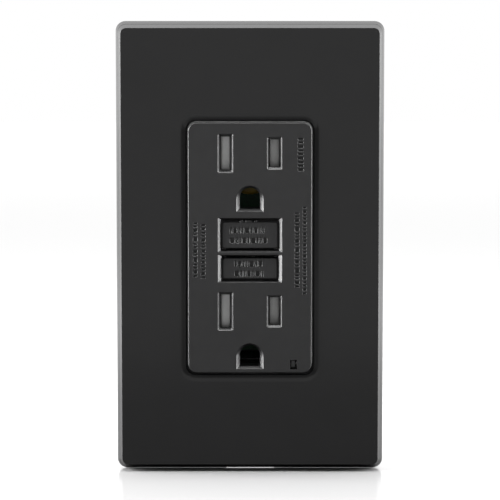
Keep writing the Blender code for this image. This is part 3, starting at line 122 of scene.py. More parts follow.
# Face of the device
FACE_CORNER = 2.3 * MM
FACE_INSET = 0.2 * MM  # how far its sides lie inside the frame's
FACE_EDGE = 0.24 * MM
FACE_REAR_EDGE = 0.2 * MM
FACE_WALLS = mm(2.0, 1.5)  # front wall, side wall
SLOTS = {"neutral": (mm(2.2, 8.75), mm(4.1, 10.4)),
         "hot": (mm(2.3, 7.2), mm(4.0, 8.7))}
SLOT_CORNER = 0.18 * MM
BRINK = 0.05 * MM
SLOT_SLOPE = mm(0.58, 1.7)  # reach of the slope at the mouth, depth of the throat
GROUND_SLOPE = mm(0.95, 1.1)
GROUND_DROP = 11.85 * MM
MOUTH_RISE = 0.18 * MM  # slots and ground holes above the middle of their shutters
GROUND_HOLE = (mm(5.3, 5.7), mm(7.3, 7.0))
GROUND_MOUTH_DROP = 0.15 * MM
BUTTONS = {
    "reset": {"cap": mm(14.9, 7.1), "mouth": mm(17.0, 9.1), "rise": 0.1 * MM},
    "test": {"cap": mm(14.6, 5.6), "mouth": mm(17.0, 7.4), "rise": 0.0},
}
SIDE_SLOPE = 0.8 * MM
END_SLOPE = 1.5 * MM
CAP_EDGE = 0.35 * MM
CAP_CORNER = 0.5 * MM
FLANGE = mm(16.8, 1.0, 0.15)  # width, thickness, edge
FLANGE_FROM_FACE = 2.3 * MM
FLANGE_REACH = 0.8 * MM
SKIRT = mm(10.0, 1.7, 0.12)  # width, depth, edge
PIN_HOLE = mm(1.5, 4.0)  # radius, and how far it runs behind the flange
TEST_STEM = 1.2 * MM
RIDGES = (mm(-2.7, -1.8), mm(-1.2, 0.6), mm(1.2, 1.9))
RIDGE = mm(1.0, 0.45, 0.18)  # depth, height, edge
RIDGE_SINK = 0.02 * MM
WINDOW = mm(1.8, 2.5)
WINDOW_RISE = 0.25 * MM
WINDOW_SHIFT = mm(0.12, -0.15)  # the pipe's head sits in the window's upper left corner
PIPE_HEAD = mm(0.6, 0.95, 1.3, 0.2)  # half width, half height, depth, edge
PIPE_STEM = mm(0.55, 0.6)  # radius, and how far it runs into the head
BOSS_RADIUS = 2.4 * MM
BOSS_HOLE = mm(1.5, 0.5)  # radius, and what is left in front of it
SHUTTER_EDGE = 0.3 * MM
SHUTTER_CURL = (1.3 * MM, 0.42)  # how deep its foot curves back, from what share of its height
SHUTTER_CROWN = 0.25 * MM
SHUTTER_RAMP = (1.0 * MM, 0.35)  # how deep its outer side slopes, from what share of its width
SHUTTER_LEAST = 0.3 * MM  # its thickness where it is thinnest
HOT_SINK = 1.0 * MM  # how much deeper the hot side's shutters lie
MARK_DEPTH = 0.9 * MM
MARK_SLOPE = 0.07 * MM
MARK_TAPER = 0.06 * MM
MARK_SPACE = 0.42 * MM

# Strap
STRAP_MIDDLE = mm(36.0, 66.9)
STRAP_EAR = mm(34.0, 17.6)
STRAP_NECK = mm(33.0, 8.0, 1.0)  # width, height, how far its middle lies past the strap's end
STRAP_CORNER = 2.5 * MM
STRAP_WINDOWS = {"blade": mm(20.4, 11.2), "button": mm(12.8, 15.2),
                 "ground": mm(5.8, 6.6)}
WINDOW_CORNER = 0.4 * MM
BUTTON_WINDOW_Z = -0.8 * MM
BOX_SLOT = mm(7.0, 4.2, 2.05)  # width, height, corner
PLATE_HOLE = 2.0 * MM
ASSEMBLY_HOLE = 1.6 * MM
SCORE = mm(11.5, 0.3, 0.2, 8.0)  # |x|, half width, depth, half length
TAB = mm(-14.0, -4.6, 1.2)  # its two ends along X, thickness
TAB_INSET = 0.1 * MM
TERMINAL_HOLE = 2.1 * MM
CLAMP_HOLE = 2.0 * MM
PIPE_HOLE = 1.1 * MM

# Housings
BODY_CORNER = 2.0 * MM
BODY_WALL = 1.6 * MM
BODY_FLOOR = {"middle_housing": 1.2 * MM, "rear_body": 1.6 * MM}
BODY_EDGE = 0.6 * MM  # corner radius inside
BACK_EDGE = 1.3 * MM
BACK_LEAST_CORNER = 0.9 * MM
POSTS = {"middle_housing": 2.7 * MM, "rear_body": 3.2 * MM}
POST_FLOOR = 0.5 * MM  # what a screw's hole leaves of the back
HEAD_BORE = (2.3 * MM + GAP, 26.6 * MM - GAP)  # radius, and where it starts
SIDE_WINDOW = 9.0 * MM
WINDOW_PAST = 0.4 * MM
WIRE_HOLE = mm(18.1, 2.6, 1.35)  # |x|, distance from the terminal's middle, radius
WIRE_EDGE = mm(0.4, 0.12)  # how far its mouth widens: in all, and at half way
BACK_RECESSES = ((mm(22.0, 15.0), 1.5 * MM, 0.3 * MM, 0.0),
                 (mm(14.0, 2.4), 0.9 * MM, 0.5 * MM, -13.0 * MM),
                 (mm(14.0, 2.4), 0.9 * MM, 0.5 * MM, 13.0 * MM))  # size, corner, depth, z
RECESS_SLOPE = 0.2 * MM
FLOOR_HOLES = {"blade": mm(3.4, 9.6), "contact": 1.9 * MM, "pin": 1.7 * MM, "pipe": 1.2 * MM}
FLOOR_CORNER = 0.3 * MM
CONTACT_AT = mm(8.6, 7.0)
GROOVE = mm(0.9, 0.35)  # width and depth of the grooves in the housings
GRIP_Z = mm(-6.0, -3.0, 0.0, 3.0, 6.0, -29.0, -26.0, 26.0, 29.0)
LATCH_X = mm(-14.0, -10.0, -3.0, 3.0, 10.0, 14.0)
GROOVE_END = 2.0 * MM  # what is left at a housing's front and rear

# Screws, terminals, springs and windings
THREAD = mm(0.8, 0.32)  # pitch and depth
THREAD_ROWS = 6
SLOT_CUT = mm(1.1, 1.1)  # width and depth of a terminal screw's slot
CROSS_SHARE = 0.6  # half length of the short slot across it, by the head's radius
SCREW = 1.7 * MM  # radius of the box and terminal screws
PLATE_SCREW = 1.5 * MM
ASSEMBLY_SCREW = 1.2 * MM
DRILL_REACH = 3.0 * MM
TERMINAL_SEAT_X = 20.0 * MM  # |x| under the screws' heads
TOOTH = mm(0.95, 0.2)  # pitch; half width, also its depth
GROUND_HEAD_TOP = -38.3 * MM
SPRINGS = {  # wire radius, turns, way it faces
    "reset_spring": (0.25 * MM, 6, "+Y"), "test_spring": (0.2 * MM, 6, "+Y"),
    "plunger_spring": (0.18 * MM, 3, "+Z"), "shutter_spring_upper": (0.15 * MM, 4, "+X"),
    "shutter_spring_lower": (0.15 * MM, 4, "+X")}
SPRING_CLOSING = 0.6  # how much closer the end turns lie
WINDING = mm(0.35, 0.08, 2.6)  # pitch and depth of its turns, bore
RING = mm(3.4, 0.9, 0.12)  # bore, fillet, depth of its turns
RING_TURNS = 36
RETAINER = mm(2.0, 0.15)  # bore, edge

# Studio: whites are beside a white of 1
WHITE = (1.0, 1.0, 1.0, 1.0)
WORLD = ((-0.1, 0.35), (0.22, 1.3))  # from ahead to behind along Y, and the white there
FLOOR_BOUNCE_PAINTED_SHADE = ((0.16, 0.4), (0.05, 0.22))  # distance from the outlet, and the floor's colour there for light that bounces back onto the outlet: painted shade, darker close to the outlet
FLOOR_CAMERA_PAINTED_LIGHT = ((0.008, 0.03), (0.54, 0.26))  # the same for the camera: painted light, the floor brighter close to the outlet to make up for the outlet's shadow
FLOOR_ROUGHNESS = 0.06
FLOOR_SIZE = 4.0
FLOOR_DROP = 0.02 * MM
SOFTBOXES = {  # place, size, white
    "left_softbox": ((-0.60, -0.01, 0.05), (0.32, 0.7), 48.0),
    "right_softbox": ((0.60, -0.01, 0.05), (0.32, 0.7), 33.0),
    "top_softbox": ((0.0, 0.0, 0.62), (0.8, 0.35), 15.0),
    "front_softbox": ((0.0, -0.78, -0.02), (0.34, 0.5), 0.45)}
CAMERA_AT = (0.00106, -0.5481, 0.0458)
CAMERA_AIM = (0.0, 0.0, -0.00103)
CAMERA_LENS = (147.48, 36.0)  # focal length and sensor width, in mm

# Steps round a circle, a corner and a small corner
ROUND_STEPS = 32
CORNER_STEPS = 8
SMALL_STEPS = 3

EVEN = (1.0, 1.0, 1.0)
NOISE_MIDDLE = (0.3, 0.7)  # where most of a noise pattern's values lie
# Angles in degrees: edges that turn by more shade sharp, or are rounded
SHARP = {"plain": 35, "screw": 30, "face": 32, "shutter": 40, "spring": 60, "winding": 80}
BEVEL_ANGLE = 40
CAD_EDGE = (0.08 * MM, 50)  # width and angle for the nodes that stay

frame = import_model()
CAD_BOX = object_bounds()


def centre(node):
    low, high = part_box(node)
    return (low + high) / 2


def assembly_screws():
    return [name for name in frame["nodes"] if name.startswith("assembly_screw")]


def terminals():
    return [f"terminal_{end}_{kind}" for end in ("load", "line") for kind in ("hot", "neutral")]


def outlets():
    """Middle height of each outlet's slots."""
    return [centre(f"shutter_{name}_hot").z for name in ("upper", "lower")]


# ---- materials ----------------------------------------------------------------------------------

def fill(tree, node, values=None, links=None):
    """Puts values on a node's inputs, and links into them."""
    for name, value in (values or {}).items():
        node.inputs[name].default_value = value
    for name, source in (links or {}).items():
        tree.links.new(source, node.inputs[name])
    return node


def add_node(tree, kind, values=None, links=None, **options):
    node = tree.nodes.new(f"ShaderNode{kind}")
    for name, option in options.items():
        setattr(node, name, option)
    return fill(tree, node, values, links)


def noise(tree, scale, detail=2.0, stretch=EVEN):
    """A noise pattern in the object's own coordinates; scale is in cells a metre."""
    place = add_node(tree, "TexCoord").outputs["Object"]
    shape = add_node(tree, "Mapping", {"Scale": stretch}, {"Vector": place}).outputs["Vector"]
    grain = add_node(tree, "TexNoise", {"Scale": scale, "Detail": detail}, {"Vector": shape})
    return grain.outputs["Fac"]


def ramp(tree, source, reach, ends, **options):
    """The stretch of a pattern's values, mapped to run between two ends."""
    values = {"From Min": reach[0], "From Max": reach[1], "To Min": ends[0], "To Max": ends[1]}
    return add_node(tree, "MapRange", values, {"Value": source}, **options).outputs["Result"]


def tinted(tree, source, dark, light):
    """A colour between two, chosen by a pattern."""
    colours = {"A": (*dark, 1.0), "B": (*light, 1.0)}
    share = ramp(tree, source, NOISE_MIDDLE, (0.0, 1.0))
    return add_node(tree, "Mix", colours, {"Factor": share}, data_type='RGBA').outputs["Result"]


def relief(tree, source, height, below=None):
    """A bump of a height in metres, on top of another one."""
    links = {"Height": source, "Normal": below} if below else {"Height": source}
    return add_node(tree, "Bump", {"Strength": 1.0, "Distance": height}, links).outputs["Normal"]


def new_material(name):
    made = bpy.data.materials.new(name)
    made.use_nodes = True
    return made, made.node_tree, made.node_tree.nodes["Principled BSDF"]


def surface(name, colour, roughness, metallic=0.0, vary=0.12, blotch=350.0, grain=(5200.0, 0.004),
            swell=None, stretch=EVEN, rough_spread=0.06):
    """A finish: colour and roughness that drift, under a fine grain and, if asked, a slow swell.

    The colour drifts by vary over blotches of a scale; grain and swell are (scale, height in mm).
    """
    made, tree, shader = new_material(name)
    dark = [channel * (1.0 - vary) for channel in colour]
    light = [min(1.0, channel * (1.0 + vary)) for channel in colour]
    tint = tinted(tree, noise(tree, blotch, 4.0, stretch), dark, light)
    fine = noise(tree, grain[0], 2.0, stretch)
    rough = ramp(tree, fine, NOISE_MIDDLE, (roughness - rough_spread, roughness + rough_spread))
    normal = relief(tree, fine, grain[1] * MM)
    if swell:
        normal = relief(tree, noise(tree, swell[0]), swell[1] * MM, normal)
    fill(tree, shader, {"Metallic": metallic}, {"Base Color": tint, "Roughness": rough, "Normal": normal})
    return made


def make_finishes():
    """One finish for each material slot of the record: colour, roughness and what is special."""
    looks = {
        "cover_plastic": ((0.004, 0.004, 0.0042), 0.19, dict(
            blotch=120.0, grain=(2600.0, 0.0012), swell=(420.0, 0.004), rough_spread=0.03)),
        "device_plastic": ((0.014, 0.014, 0.0144), 0.38, dict(blotch=500.0, grain=(6500.0, 0.010))),
        "frame_plastic": ((0.028, 0.028, 0.03), 0.55, dict(grain=(4200.0, 0.010))),
        "shutter_plastic": ((0.9, 0.9, 0.89), 0.45, dict(vary=0.05)),
        "housing_plastic": ((0.040, 0.040, 0.044), 0.5, dict(vary=0.2, grain=(3600.0, 0.012))),
        "bobbin_plastic": ((0.7, 0.69, 0.64), 0.45, dict(vary=0.06)),
        "retainer_fibre": ((0.45, 0.05, 0.035), 0.7, dict(vary=0.25, grain=(2800.0, 0.02))),
        "coil_wrap": ((0.55, 0.40, 0.06), 0.4, dict(vary=0.1, grain=(2400.0, 0.01))),
        "board": ((0.02, 0.16, 0.06), 0.4, dict(vary=0.3, blotch=900.0)),
        "lens": ((0.05, 0.052, 0.052), 0.3, dict(vary=0.08, grain=(3000.0, 0.003))),
        "zinc_steel": ((0.62, 0.63, 0.62), 0.34, dict(
            metallic=1.0, vary=0.1, blotch=700.0, grain=(2600.0, 0.003), stretch=(0.12, 1.0, 1.0),
            rough_spread=0.1)),
        "brass": ((0.76, 0.54, 0.22), 0.28, dict(
            metallic=1.0, vary=0.1, blotch=500.0, grain=(3200.0, 0.002), rough_spread=0.08)),
        "nickel_brass": ((0.70, 0.68, 0.62), 0.28, dict(
            metallic=1.0, vary=0.08, blotch=500.0, grain=(3200.0, 0.002), rough_spread=0.08)),
        "ground_green": ((0.03, 0.26, 0.08), 0.32, dict(metallic=0.7, vary=0.2, blotch=600.0)),
        "copper": ((0.62, 0.21, 0.08), 0.3, dict(metallic=1.0, vary=0.15, blotch=900.0)),
    }
    return {name: surface(name, colour, roughness, **special)
            for name, (colour, roughness, special) in looks.items()}


FINISHES = make_finishes()
SLOT_OF = {row["node"]: row["material_slot"] for row in frame["record"]["subparts"]}


# ---- pieces -------------------------------------------------------------------------------------

def mesh_object(name, shape):
    mesh = bpy.data.meshes.new(name)
    bmesh.ops.recalc_face_normals(shape, faces=shape.faces)
    shape.to_mesh(mesh)
    shape.free()
    made = bpy.data.objects.new(name, mesh)
    bpy.context.scene.collection.objects.link(made)
    return made


def settle(piece):
    """Applies a piece's modifiers to its mesh."""
    graph = bpy.context.evaluated_depsgraph_get()
    done = bpy.data.meshes.new_from_object(piece.evaluated_get(graph))
    piece.modifiers.clear()
    piece.data = done


def combine(piece, shape, operation):
    tool = mesh_object("tool", shape)
    step = piece.modifiers.new("combine", 'BOOLEAN')
    step.operation = operation
    step.solver = 'EXACT'
    step.object = tool
    settle(piece)
    bpy.data.objects.remove(tool)
    if not piece.data.polygons:
        raise RuntimeError(f"{piece.name}: nothing is left of the piece")


def cut(piece, shape):
    combine(piece, shape, 'DIFFERENCE')


def weld(piece, shape):
    combine(piece, shape, 'UNION')


def smooth(piece, angle):
    """Round stretches shade smooth, and flat faces stay flat beside them."""
    piece.data.shade_smooth()
    piece.data.set_sharp_from_angle(angle=math.radians(angle))
    weigh = piece.modifiers.new("weigh", 'WEIGHTED_NORMAL')
    weigh.keep_sharp = True
    settle(piece)


def paint(piece, slot):
    piece.data.materials.clear()
    piece.data.materials.append(FINISHES[slot])


def bevel(piece, width, angle):
    """Rounds every edge that turns by more than an angle."""
    edges = piece.modifiers.new("soften", 'BEVEL')
    edges.width = width
    edges.segments = 2
    edges.limit_method = 'ANGLE'
    edges.angle_limit = math.radians(angle)


def stand_for(piece, node, kind="plain", edge=0.0):
    """A finished piece takes the node's name, finish and body, and stands in the node's place while the
    node is hidden.

    kind says which edges shade sharp, and edge how much every edge is rounded first.
    """
    if edge:
        bevel(piece, edge, BEVEL_ANGLE)
        settle(piece)
    smooth(piece, SHARP[kind])
    slot = SLOT_OF[node]
    piece.name = f"{node}_look"
    paint(piece, slot)
    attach(piece, frame["nodes"][node]["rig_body"])
    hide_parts(node)


# ---- shapes -------------------------------------------------------------------------------------

def rectangle(width, height):
    x, z = width / 2, height / 2
    return [(x, z), (-x, z), (-x, -z), (x, -z)]


def rounded(width, height, radius, steps=CORNER_STEPS):
    """A rectangle with round corners, anticlockwise from the right."""
    points = []
    for turn, (sx, sz) in enumerate([(1, 1), (-1, 1), (-1, -1), (1, -1)]):
        middle_x = sx * (width / 2 - radius)
        middle_z = sz * (height / 2 - radius)
        for step in range(steps + 1):
            angle = math.radians(90) * (turn + step / steps)
            points.append((middle_x + radius * math.cos(angle), middle_z + radius * math.sin(angle)))
    return points


def arc(steps, degrees=90):
    """Sine and cosine at even steps round an arc."""
    angles = [math.radians(degrees) * step / steps for step in range(steps + 1)]
    return [(math.sin(angle), math.cos(angle)) for angle in angles]


def slot_outline(width, height):
    return rounded(width, height, SLOT_CORNER, SMALL_STEPS)


def arched(width, height, steps=18):
    """A hole with a half-round top and a flat bottom, about the middle of its height."""
    radius = width / 2
    spring_z = height / 2 - radius
    points = [(-radius, -height / 2), (radius, -height / 2)]
    for step in range(steps + 1):
        angle = math.radians(180) * step / steps
        points.append((radius * math.cos(angle), spring_z + radius * math.sin(angle)))
    return points


def circle(radius, steps=ROUND_STEPS):
    return [(radius * math.cos(2 * math.pi * i / steps), radius * math.sin(2 * math.pi * i / steps))
            for i in range(steps)]


def shrunk(size, by):
    return (size[0] - 2 * by, size[1] - 2 * by)


def skin(rings, into=None, closed=False):
    """Joins rings of points; the ends are capped, or the last ring meets the first."""
    made = into or bmesh.new()
    loops = [[made.verts.new(point) for point in ring] for ring in rings]
    pairs = list(zip(loops, loops[1:])) + ([(loops[-1], loops[0])] if closed else [])
    sides = []
    for near, far in pairs:
        for i in range(len(near)):
            k = (i + 1) % len(near)
            sides.append(made.faces.new((near[i], near[k], far[k], far[i])))
    if not closed:
        sides.append(made.faces.new(list(reversed(loops[0]))))
        sides.append(made.faces.new(loops[-1]))
    bmesh.ops.recalc_face_normals(made, faces=sides)
    return made


def loft(sections, into=None, closed=False):
    """A body through sections, each (outline, y) or (outline, y, x, z)."""
    rings = []
    for outline, y, *middle in sections:
        at_x, at_z = middle or (0.0, 0.0)
        rings.append([(at_x + x, y, at_z + z) for x, z in outline])
    return skin(rings, into, closed)


def prism(outline, front, rear, into=None, at=(0.0, 0.0)):
    return loft([(outline, front, *at), (outline, rear, *at)], into)


def rod_y(x, z, radius, front, rear, into=None, rear_radius=None, steps=ROUND_STEPS):
    ends = ((radius, front), (radius if rear_radius is None else rear_radius, rear))
    return loft([(circle(size, steps), y, x, z) for size, y in ends], into)


def soft_box(low, high, edge, into=None):
    """A box with rounded edges."""
    shape = box_of(low, high)
    bmesh.ops.bevel(shape, geom=shape.edges[:], offset=edge, segments=3, profile=0.5, affect='EDGES')
    if into is None:
        return shape
    mesh = bpy.data.meshes.new("soft_box")
    shape.to_mesh(mesh)
    shape.free()
    into.from_mesh(mesh)
    return into


FACING = {
    "+X": Matrix.Rotation(math.radians(90), 4, 'Y'),
    "-X": Matrix.Rotation(math.radians(-90), 4, 'Y'),
    "+Y": Matrix.Rotation(math.radians(-90), 4, 'X'),
    "-Y": Matrix.Rotation(math.radians(90), 4, 'X'),
    "+Z": Matrix.Identity(4),
    "-Z": Matrix.Rotation(math.radians(180), 4, 'X'),
}


def turned(rows, place, facing, steps=ROUND_STEPS, ripple=(1.0, 0)):
    """Turns (radius, height, depth) rows, from the top down, about an axis.

    A row with a depth is rippled by that much: (pitch, count) of the ripple make a thread, the
    turns of a winding or, with a count alone, wires side by side round a ring.
    """
    pitch, count = ripple
    shape = bmesh.new()
    rings = []
    for radius, height, depth in rows:
        if radius == 0.0:
            rings.append([shape.verts.new((0.0, 0.0, height))])
            continue
        ring = []
        for i in range(steps):
            share = i / steps
            wave = abs(2 * ((height / pitch + count * share) % 1.0) - 1)
            out = radius - depth * wave
            angle = 2 * math.pi * share
            ring.append(shape.verts.new((out * math.cos(angle), out * math.sin(angle), height)))
        rings.append(ring)
    pairs = list(zip(rings, rings[1:]))
    if len(rings[0]) > 1:
        pairs.append((rings[-1], rings[0]))
    for near, far in pairs:
        for i in range(steps):
            k = (i + 1) % steps
            if len(near) == 1:
                shape.faces.new((near[0], far[k], far[i]))
            elif len(far) == 1:
                shape.faces.new((near[i], near[k], far[0]))
            else:
                shape.faces.new((near[i], near[k], far[k], far[i]))
    bmesh.ops.recalc_face_normals(shape, faces=shape.faces)
    bmesh.ops.transform(shape, matrix=Matrix.Translation(place) @ FACING[facing], verts=shape.verts)
    return shape


def plain(profile):
    return [(radius, height, 0.0) for radius, height in profile]


def threaded(radius, top, end):
    """Rows of a threaded shank that fades in under the head and out at its tip."""
    pitch, depth = THREAD
    count = int((top - end) / pitch * THREAD_ROWS)
    rows = []
    for i in range(count + 1):
        fade = min(1.0, i / THREAD_ROWS, (count - i) / THREAD_ROWS)
        rows.append((radius, top + (end - top) * i / count, depth * fade))
    return rows + [(0.0, end, 0.0)]


def screw_of(node, rows, place, facing):
    return mesh_object(node, turned(rows, place, facing, ripple=(THREAD[0], 1)))


def drill(piece, radius, place, facing, reach=DRILL_REACH):
    """A round hole that runs as far to both sides of a place."""
    rows = plain([(0.0, reach), (radius, reach), (radius, -reach), (0.0, -reach)])
    cut(piece, turned(rows, place, facing))


def helix(radius, wire, length, turns, place, facing):
    """A compression spring with closed ends."""
    steps_a_turn, sides = 20, 10
    count = turns * steps_a_turn
    rings = []
    for i in range(count + 1):
        turn = i / steps_a_turn
        share = i / count
        rise = length * (share - math.sin(2 * math.pi * share) / (2 * math.pi) * SPRING_CLOSING)
        angle = 2 * math.pi * turn
        out = Vector((math.cos(angle), math.sin(angle), 0.0))
        along = Vector((-math.sin(angle), math.cos(angle), 0.0))
        up = along.cross(out).normalized() * -1
        middle = out * radius + Vector((0.0, 0.0, rise))
        rings.append([middle + wire * (math.cos(a) * out + math.sin(a) * up)
                      for a in (2 * math.pi * k / sides for k in range(sides))])
    shape = skin([[tuple(point) for point in ring] for ring in rings])
    bmesh.ops.transform(shape, matrix=Matrix.Translation(place) @ FACING[facing], verts=shape.verts)
    return shape


def box_of(low, high, into=None):
    made = into or bmesh.new()
    low, high = Vector(low), Vector(high)
    bmesh.ops.create_cube(made, size=1.0, matrix=Matrix.Translation((low + high) / 2)
                          @ Matrix.Diagonal((*(high - low), 1.0)))
    return made


# ---- cover plate --------------------------------------------------------------------------------

def plate_rings():
    """The cover plate's outline at each step round its wall, from the opening out to the rim."""
    low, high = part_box("wall_plate")
    front, wall = low.y, high.y
    rear_size = (high.x - low.x, high.z - low.z)
    inner_y = front + PLATE_WALLS[0]
    rings = [(OPENING, OPENING_CORNER, inner_y, True)]
    lip_steps = 8
    for step in range(lip_steps + 1):
        share = step / lip_steps
        out = LIP[0] * share
        y = front + LIP[1] * (1 - share) ** 2
        rings.append((shrunk(OPENING, -out), OPENING_CORNER + out, y, True))

    def outer(y, inset=0.0):
        share = min(1.0, (y - front) / (wall - PLATE_RIM - front))
        size = [a + (b - a) * share - 2 * inset for a, b in zip(PLATE_FRONT, rear_size)]
        corner = PLATE_CORNERS[0] + (PLATE_CORNERS[1] - PLATE_CORNERS[0]) * share
        return (size, max(corner - inset, PLATE_LEAST_CORNER), y, False)

    for sine, cosine in arc(5, 80):
        rings.append(outer(front + PLATE_EDGE * (1 - cosine), PLATE_EDGE * (1 - sine)))
    seam, half, depth = PLATE_SEAM
    for y, inset in ((-seam - half, 0.0), (-seam - half / 2, depth), (-seam + half / 2, depth),
                     (-seam + half, 0.0), (-PLATE_RIM, 0.0), (-PLATE_RIM / 3, PLATE_RIM / 4),
                     (0.0, PLATE_RIM), (0.0, PLATE_WALLS[1])):
        rings.append(outer(wall + y, inset))
    rings.append(outer(inner_y + PLATE_CHAMFER, PLATE_WALLS[1]))
    rings.append(outer(inner_y, PLATE_WALLS[1] + PLATE_CHAMFER))
    return rings


def hook_shape(x, side, inner_y):
    """A tongue behind the plate with a nub that faces away from the middle."""
    width, thickness, length = HOOK
    nub_depth, nub_height = HOOK_NUB
    half, tip_y = thickness / 2, inner_y + length
    nub_y = tip_y - nub_depth
    profile = [(inner_y - BITE, -half - HOOK_FOOT), (inner_y + HOOK_FOOT, -half),
               (tip_y - HOOK_EDGE, -half), (tip_y, -half + HOOK_EDGE), (tip_y, half - HOOK_EDGE),
               (nub_y + HOOK_EDGE, half + nub_height), (nub_y, half + nub_height), (nub_y, half),
               (inner_y + HOOK_FOOT, half), (inner_y - BITE, half + HOOK_FOOT)]
    z = side * HOOK_AT[1]
    return skin([[(x + dx, y, z + side * out) for y, out in profile] for dx in (-width / 2, width / 2)])


def make_cover_plate():
    sections = []
    for size, corner, y, dropped in plate_rings():
        sections.append((rounded(*size, corner), y, 0.0, -OPENING_DROP if dropped else 0.0))
    plate = mesh_object("plate", loft(sections, closed=True))
    low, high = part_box("wall_plate")
    for sx in (-1, 1):
        for sz in (-1, 1):
            weld(plate, hook_shape(sx * HOOK_AT[0], sz, low.y + PLATE_WALLS[0]))
    width, depth, height, edge = PRY_NOTCH
    cut(plate, soft_box((-width / 2, high.y - depth, low.z - PAST),
                        (width / 2, high.y + PAST, low.z + height), edge))
    stand_for(plate, "wall_plate")


# ---- face of the device -------------------------------------------------------------------------

def face_front():
    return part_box("face_cover")[0].y


def mouth(outline, sizes, x, z, slope, rear, into, drop=0.0):
    """A hole through the face: a slope at its mouth, then a steeper throat.

    sizes are those of the throat's end and of the mouth; slope is as in SLOT_SLOPE.
    """
    face_y = face_front()
    inner, outer = sizes
    slope_in, throat = slope
    middle = [max(a, b - 2 * slope_in) for a, b in zip(inner, outer)]
    sections = [
        (outline(*outer), face_y - PAST, x, z - drop),
        (outline(*outer), face_y + SKIM, x, z - drop),
        (outline(*shrunk(outer, BRINK)), face_y + BRINK / 2, x, z - drop),
        (outline(*middle), face_y + slope_in, x, z - drop / 2),
        (outline(*inner), face_y + throat, x, z),
        (outline(*inner), rear, x, z),
    ]
    return loft(sections, into)


def button_hole(button, cap_z, rear):
    """A recess with mitred slopes: shallow ones at the sides, steep ones above and below."""
    face_y = face_front()
    width, height = button["mouth"]
    inner = shrunk(button["cap"], -GAP)
    mouth_z = cap_z + button["rise"]
    half_height = (height + inner[1]) / 2
    return loft([
        (rectangle(width, height), face_y - PAST, 0.0, mouth_z),
        (rectangle(width, height), face_y + SKIM, 0.0, mouth_z),
        (rectangle(*shrunk(button["mouth"], BRINK)), face_y + BRINK, 0.0, mouth_z),
        (rectangle(inner[0], half_height), face_y + SIDE_SLOPE, 0.0, (mouth_z + cap_z) / 2),
        (rectangle(*inner), face_y + END_SLOPE, 0.0, cap_z),
        (rectangle(*inner), rear, 0.0, cap_z),
    ])


def marks(rows, face_y, upright=False):
    """Cutters for rows of dashes, in the place of moulded lettering.

    Each row is (start, end, across, height, lengths): the lengths repeat until the row is full.
    """
    made = bmesh.new()
    for start, end, across, height, lengths in rows:
        at, turn = start, 0
        direction = 1 if end > start else -1
        while abs(end - at) > lengths[turn % len(lengths)] * MM:
            length = lengths[turn % len(lengths)] * MM
            middle = at + direction * length / 2
            size = (height, length) if upright else (length, height)
            place = (across, middle) if upright else (middle, across)
            radius = min(size) * 0.35
            mouth_size = shrunk(size, -MARK_SLOPE)
            loft([
                (rounded(*mouth_size, radius, SMALL_STEPS), face_y - PAST, *place),
                (rounded(*mouth_size, radius, SMALL_STEPS), face_y + SKIM, *place),
                (rounded(*size, radius, SMALL_STEPS), face_y + MARK_SLOPE, *place),
                (rounded(*shrunk(size, MARK_TAPER), radius * 0.7, SMALL_STEPS),
                 face_y + MARK_DEPTH, *place),
            ], made)
            at += direction * (length + MARK_SPACE)
            turn += 1
    return made


def face_marks(face_y):
    """Columns of dashes beside the buttons."""
    long_short = (0.4, 0.4, 0.9, 0.4, 1.3)
    even = (0.45, 0.8, 0.45)
    rows = [
        (*mm(6.8, -8.8, -14.5, 1.1), long_short),
        (*mm(6.4, -8.4, -12.4, 1.1), even),
        (*mm(11.0, -12.3, 14.5, 1.0), even),
        (*mm(9.5, -11.0, 12.5, 1.2), long_short),
        (*mm(29.2, 20.4, 13.4, 1.5), (0.5, 0.5, 0.8)),
    ]
    return marks(rows, face_y, upright=True)


def make_face_cover():
    low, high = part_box("face_cover")
    front, rear = face_front(), high.y
    size = [b - a - 2 * FACE_INSET for a, b in zip((low.x, low.z), (high.x, high.z))]
    sections = []
    for sine, cosine in arc(4):
        inset = FACE_EDGE * (1 - sine)
        sections.append((rounded(*shrunk(size, inset), FACE_CORNER - inset),
                         front + FACE_EDGE * (1 - cosine)))
    sections.append((rounded(*size, FACE_CORNER), rear - FACE_REAR_EDGE))
    sections.append((rounded(*shrunk(size, FACE_REAR_EDGE), FACE_CORNER - FACE_REAR_EDGE), rear))
    face = mesh_object("face", loft(sections))
    front_wall, side_wall = FACE_WALLS
    inner = rounded(*shrunk(size, side_wall), FACE_CORNER - side_wall)
    cut(face, prism(inner, front + front_wall, rear + PAST))
    bosses = bmesh.new()
    for node in assembly_screws():
        at = centre(node)
        rod_y(at.x, at.z, BOSS_RADIUS, front + front_wall - BITE, rear, bosses)
    weld(face, bosses)
    holes = bmesh.new()
    through = front + front_wall + PAST
    for outlet in ("upper", "lower"):
        for kind, sizes in SLOTS.items():
            at = centre(f"shutter_{outlet}_{kind}")
            mouth(slot_outline, sizes, at.x, at.z + MOUTH_RISE, SLOT_SLOPE, through, holes)
        ground_z = centre(f"shutter_{outlet}_hot").z - GROUND_DROP + MOUTH_RISE
        mouth(arched, GROUND_HOLE, 0.0, ground_z, GROUND_SLOPE, through, holes, GROUND_MOUTH_DROP)
    lamp = centre("indicator_lamp")
    window = (lamp.x + WINDOW_SHIFT[0], lamp.z - WINDOW_RISE + WINDOW_SHIFT[1])
    prism(rectangle(*WINDOW), front - PAST, through, holes, window)
    for node in assembly_screws():
        at = centre(node)
        rod_y(at.x, at.z, BOSS_HOLE[0], front + front_wall + BOSS_HOLE[1], rear + PAST, holes)
    cut(face, holes)
    for name, button in BUTTONS.items():
        cut(face, button_hole(button, centre(f"{name}_spring").z, through))
    cut(face, face_marks(front))
    stand_for(face, "face_cover", "face")


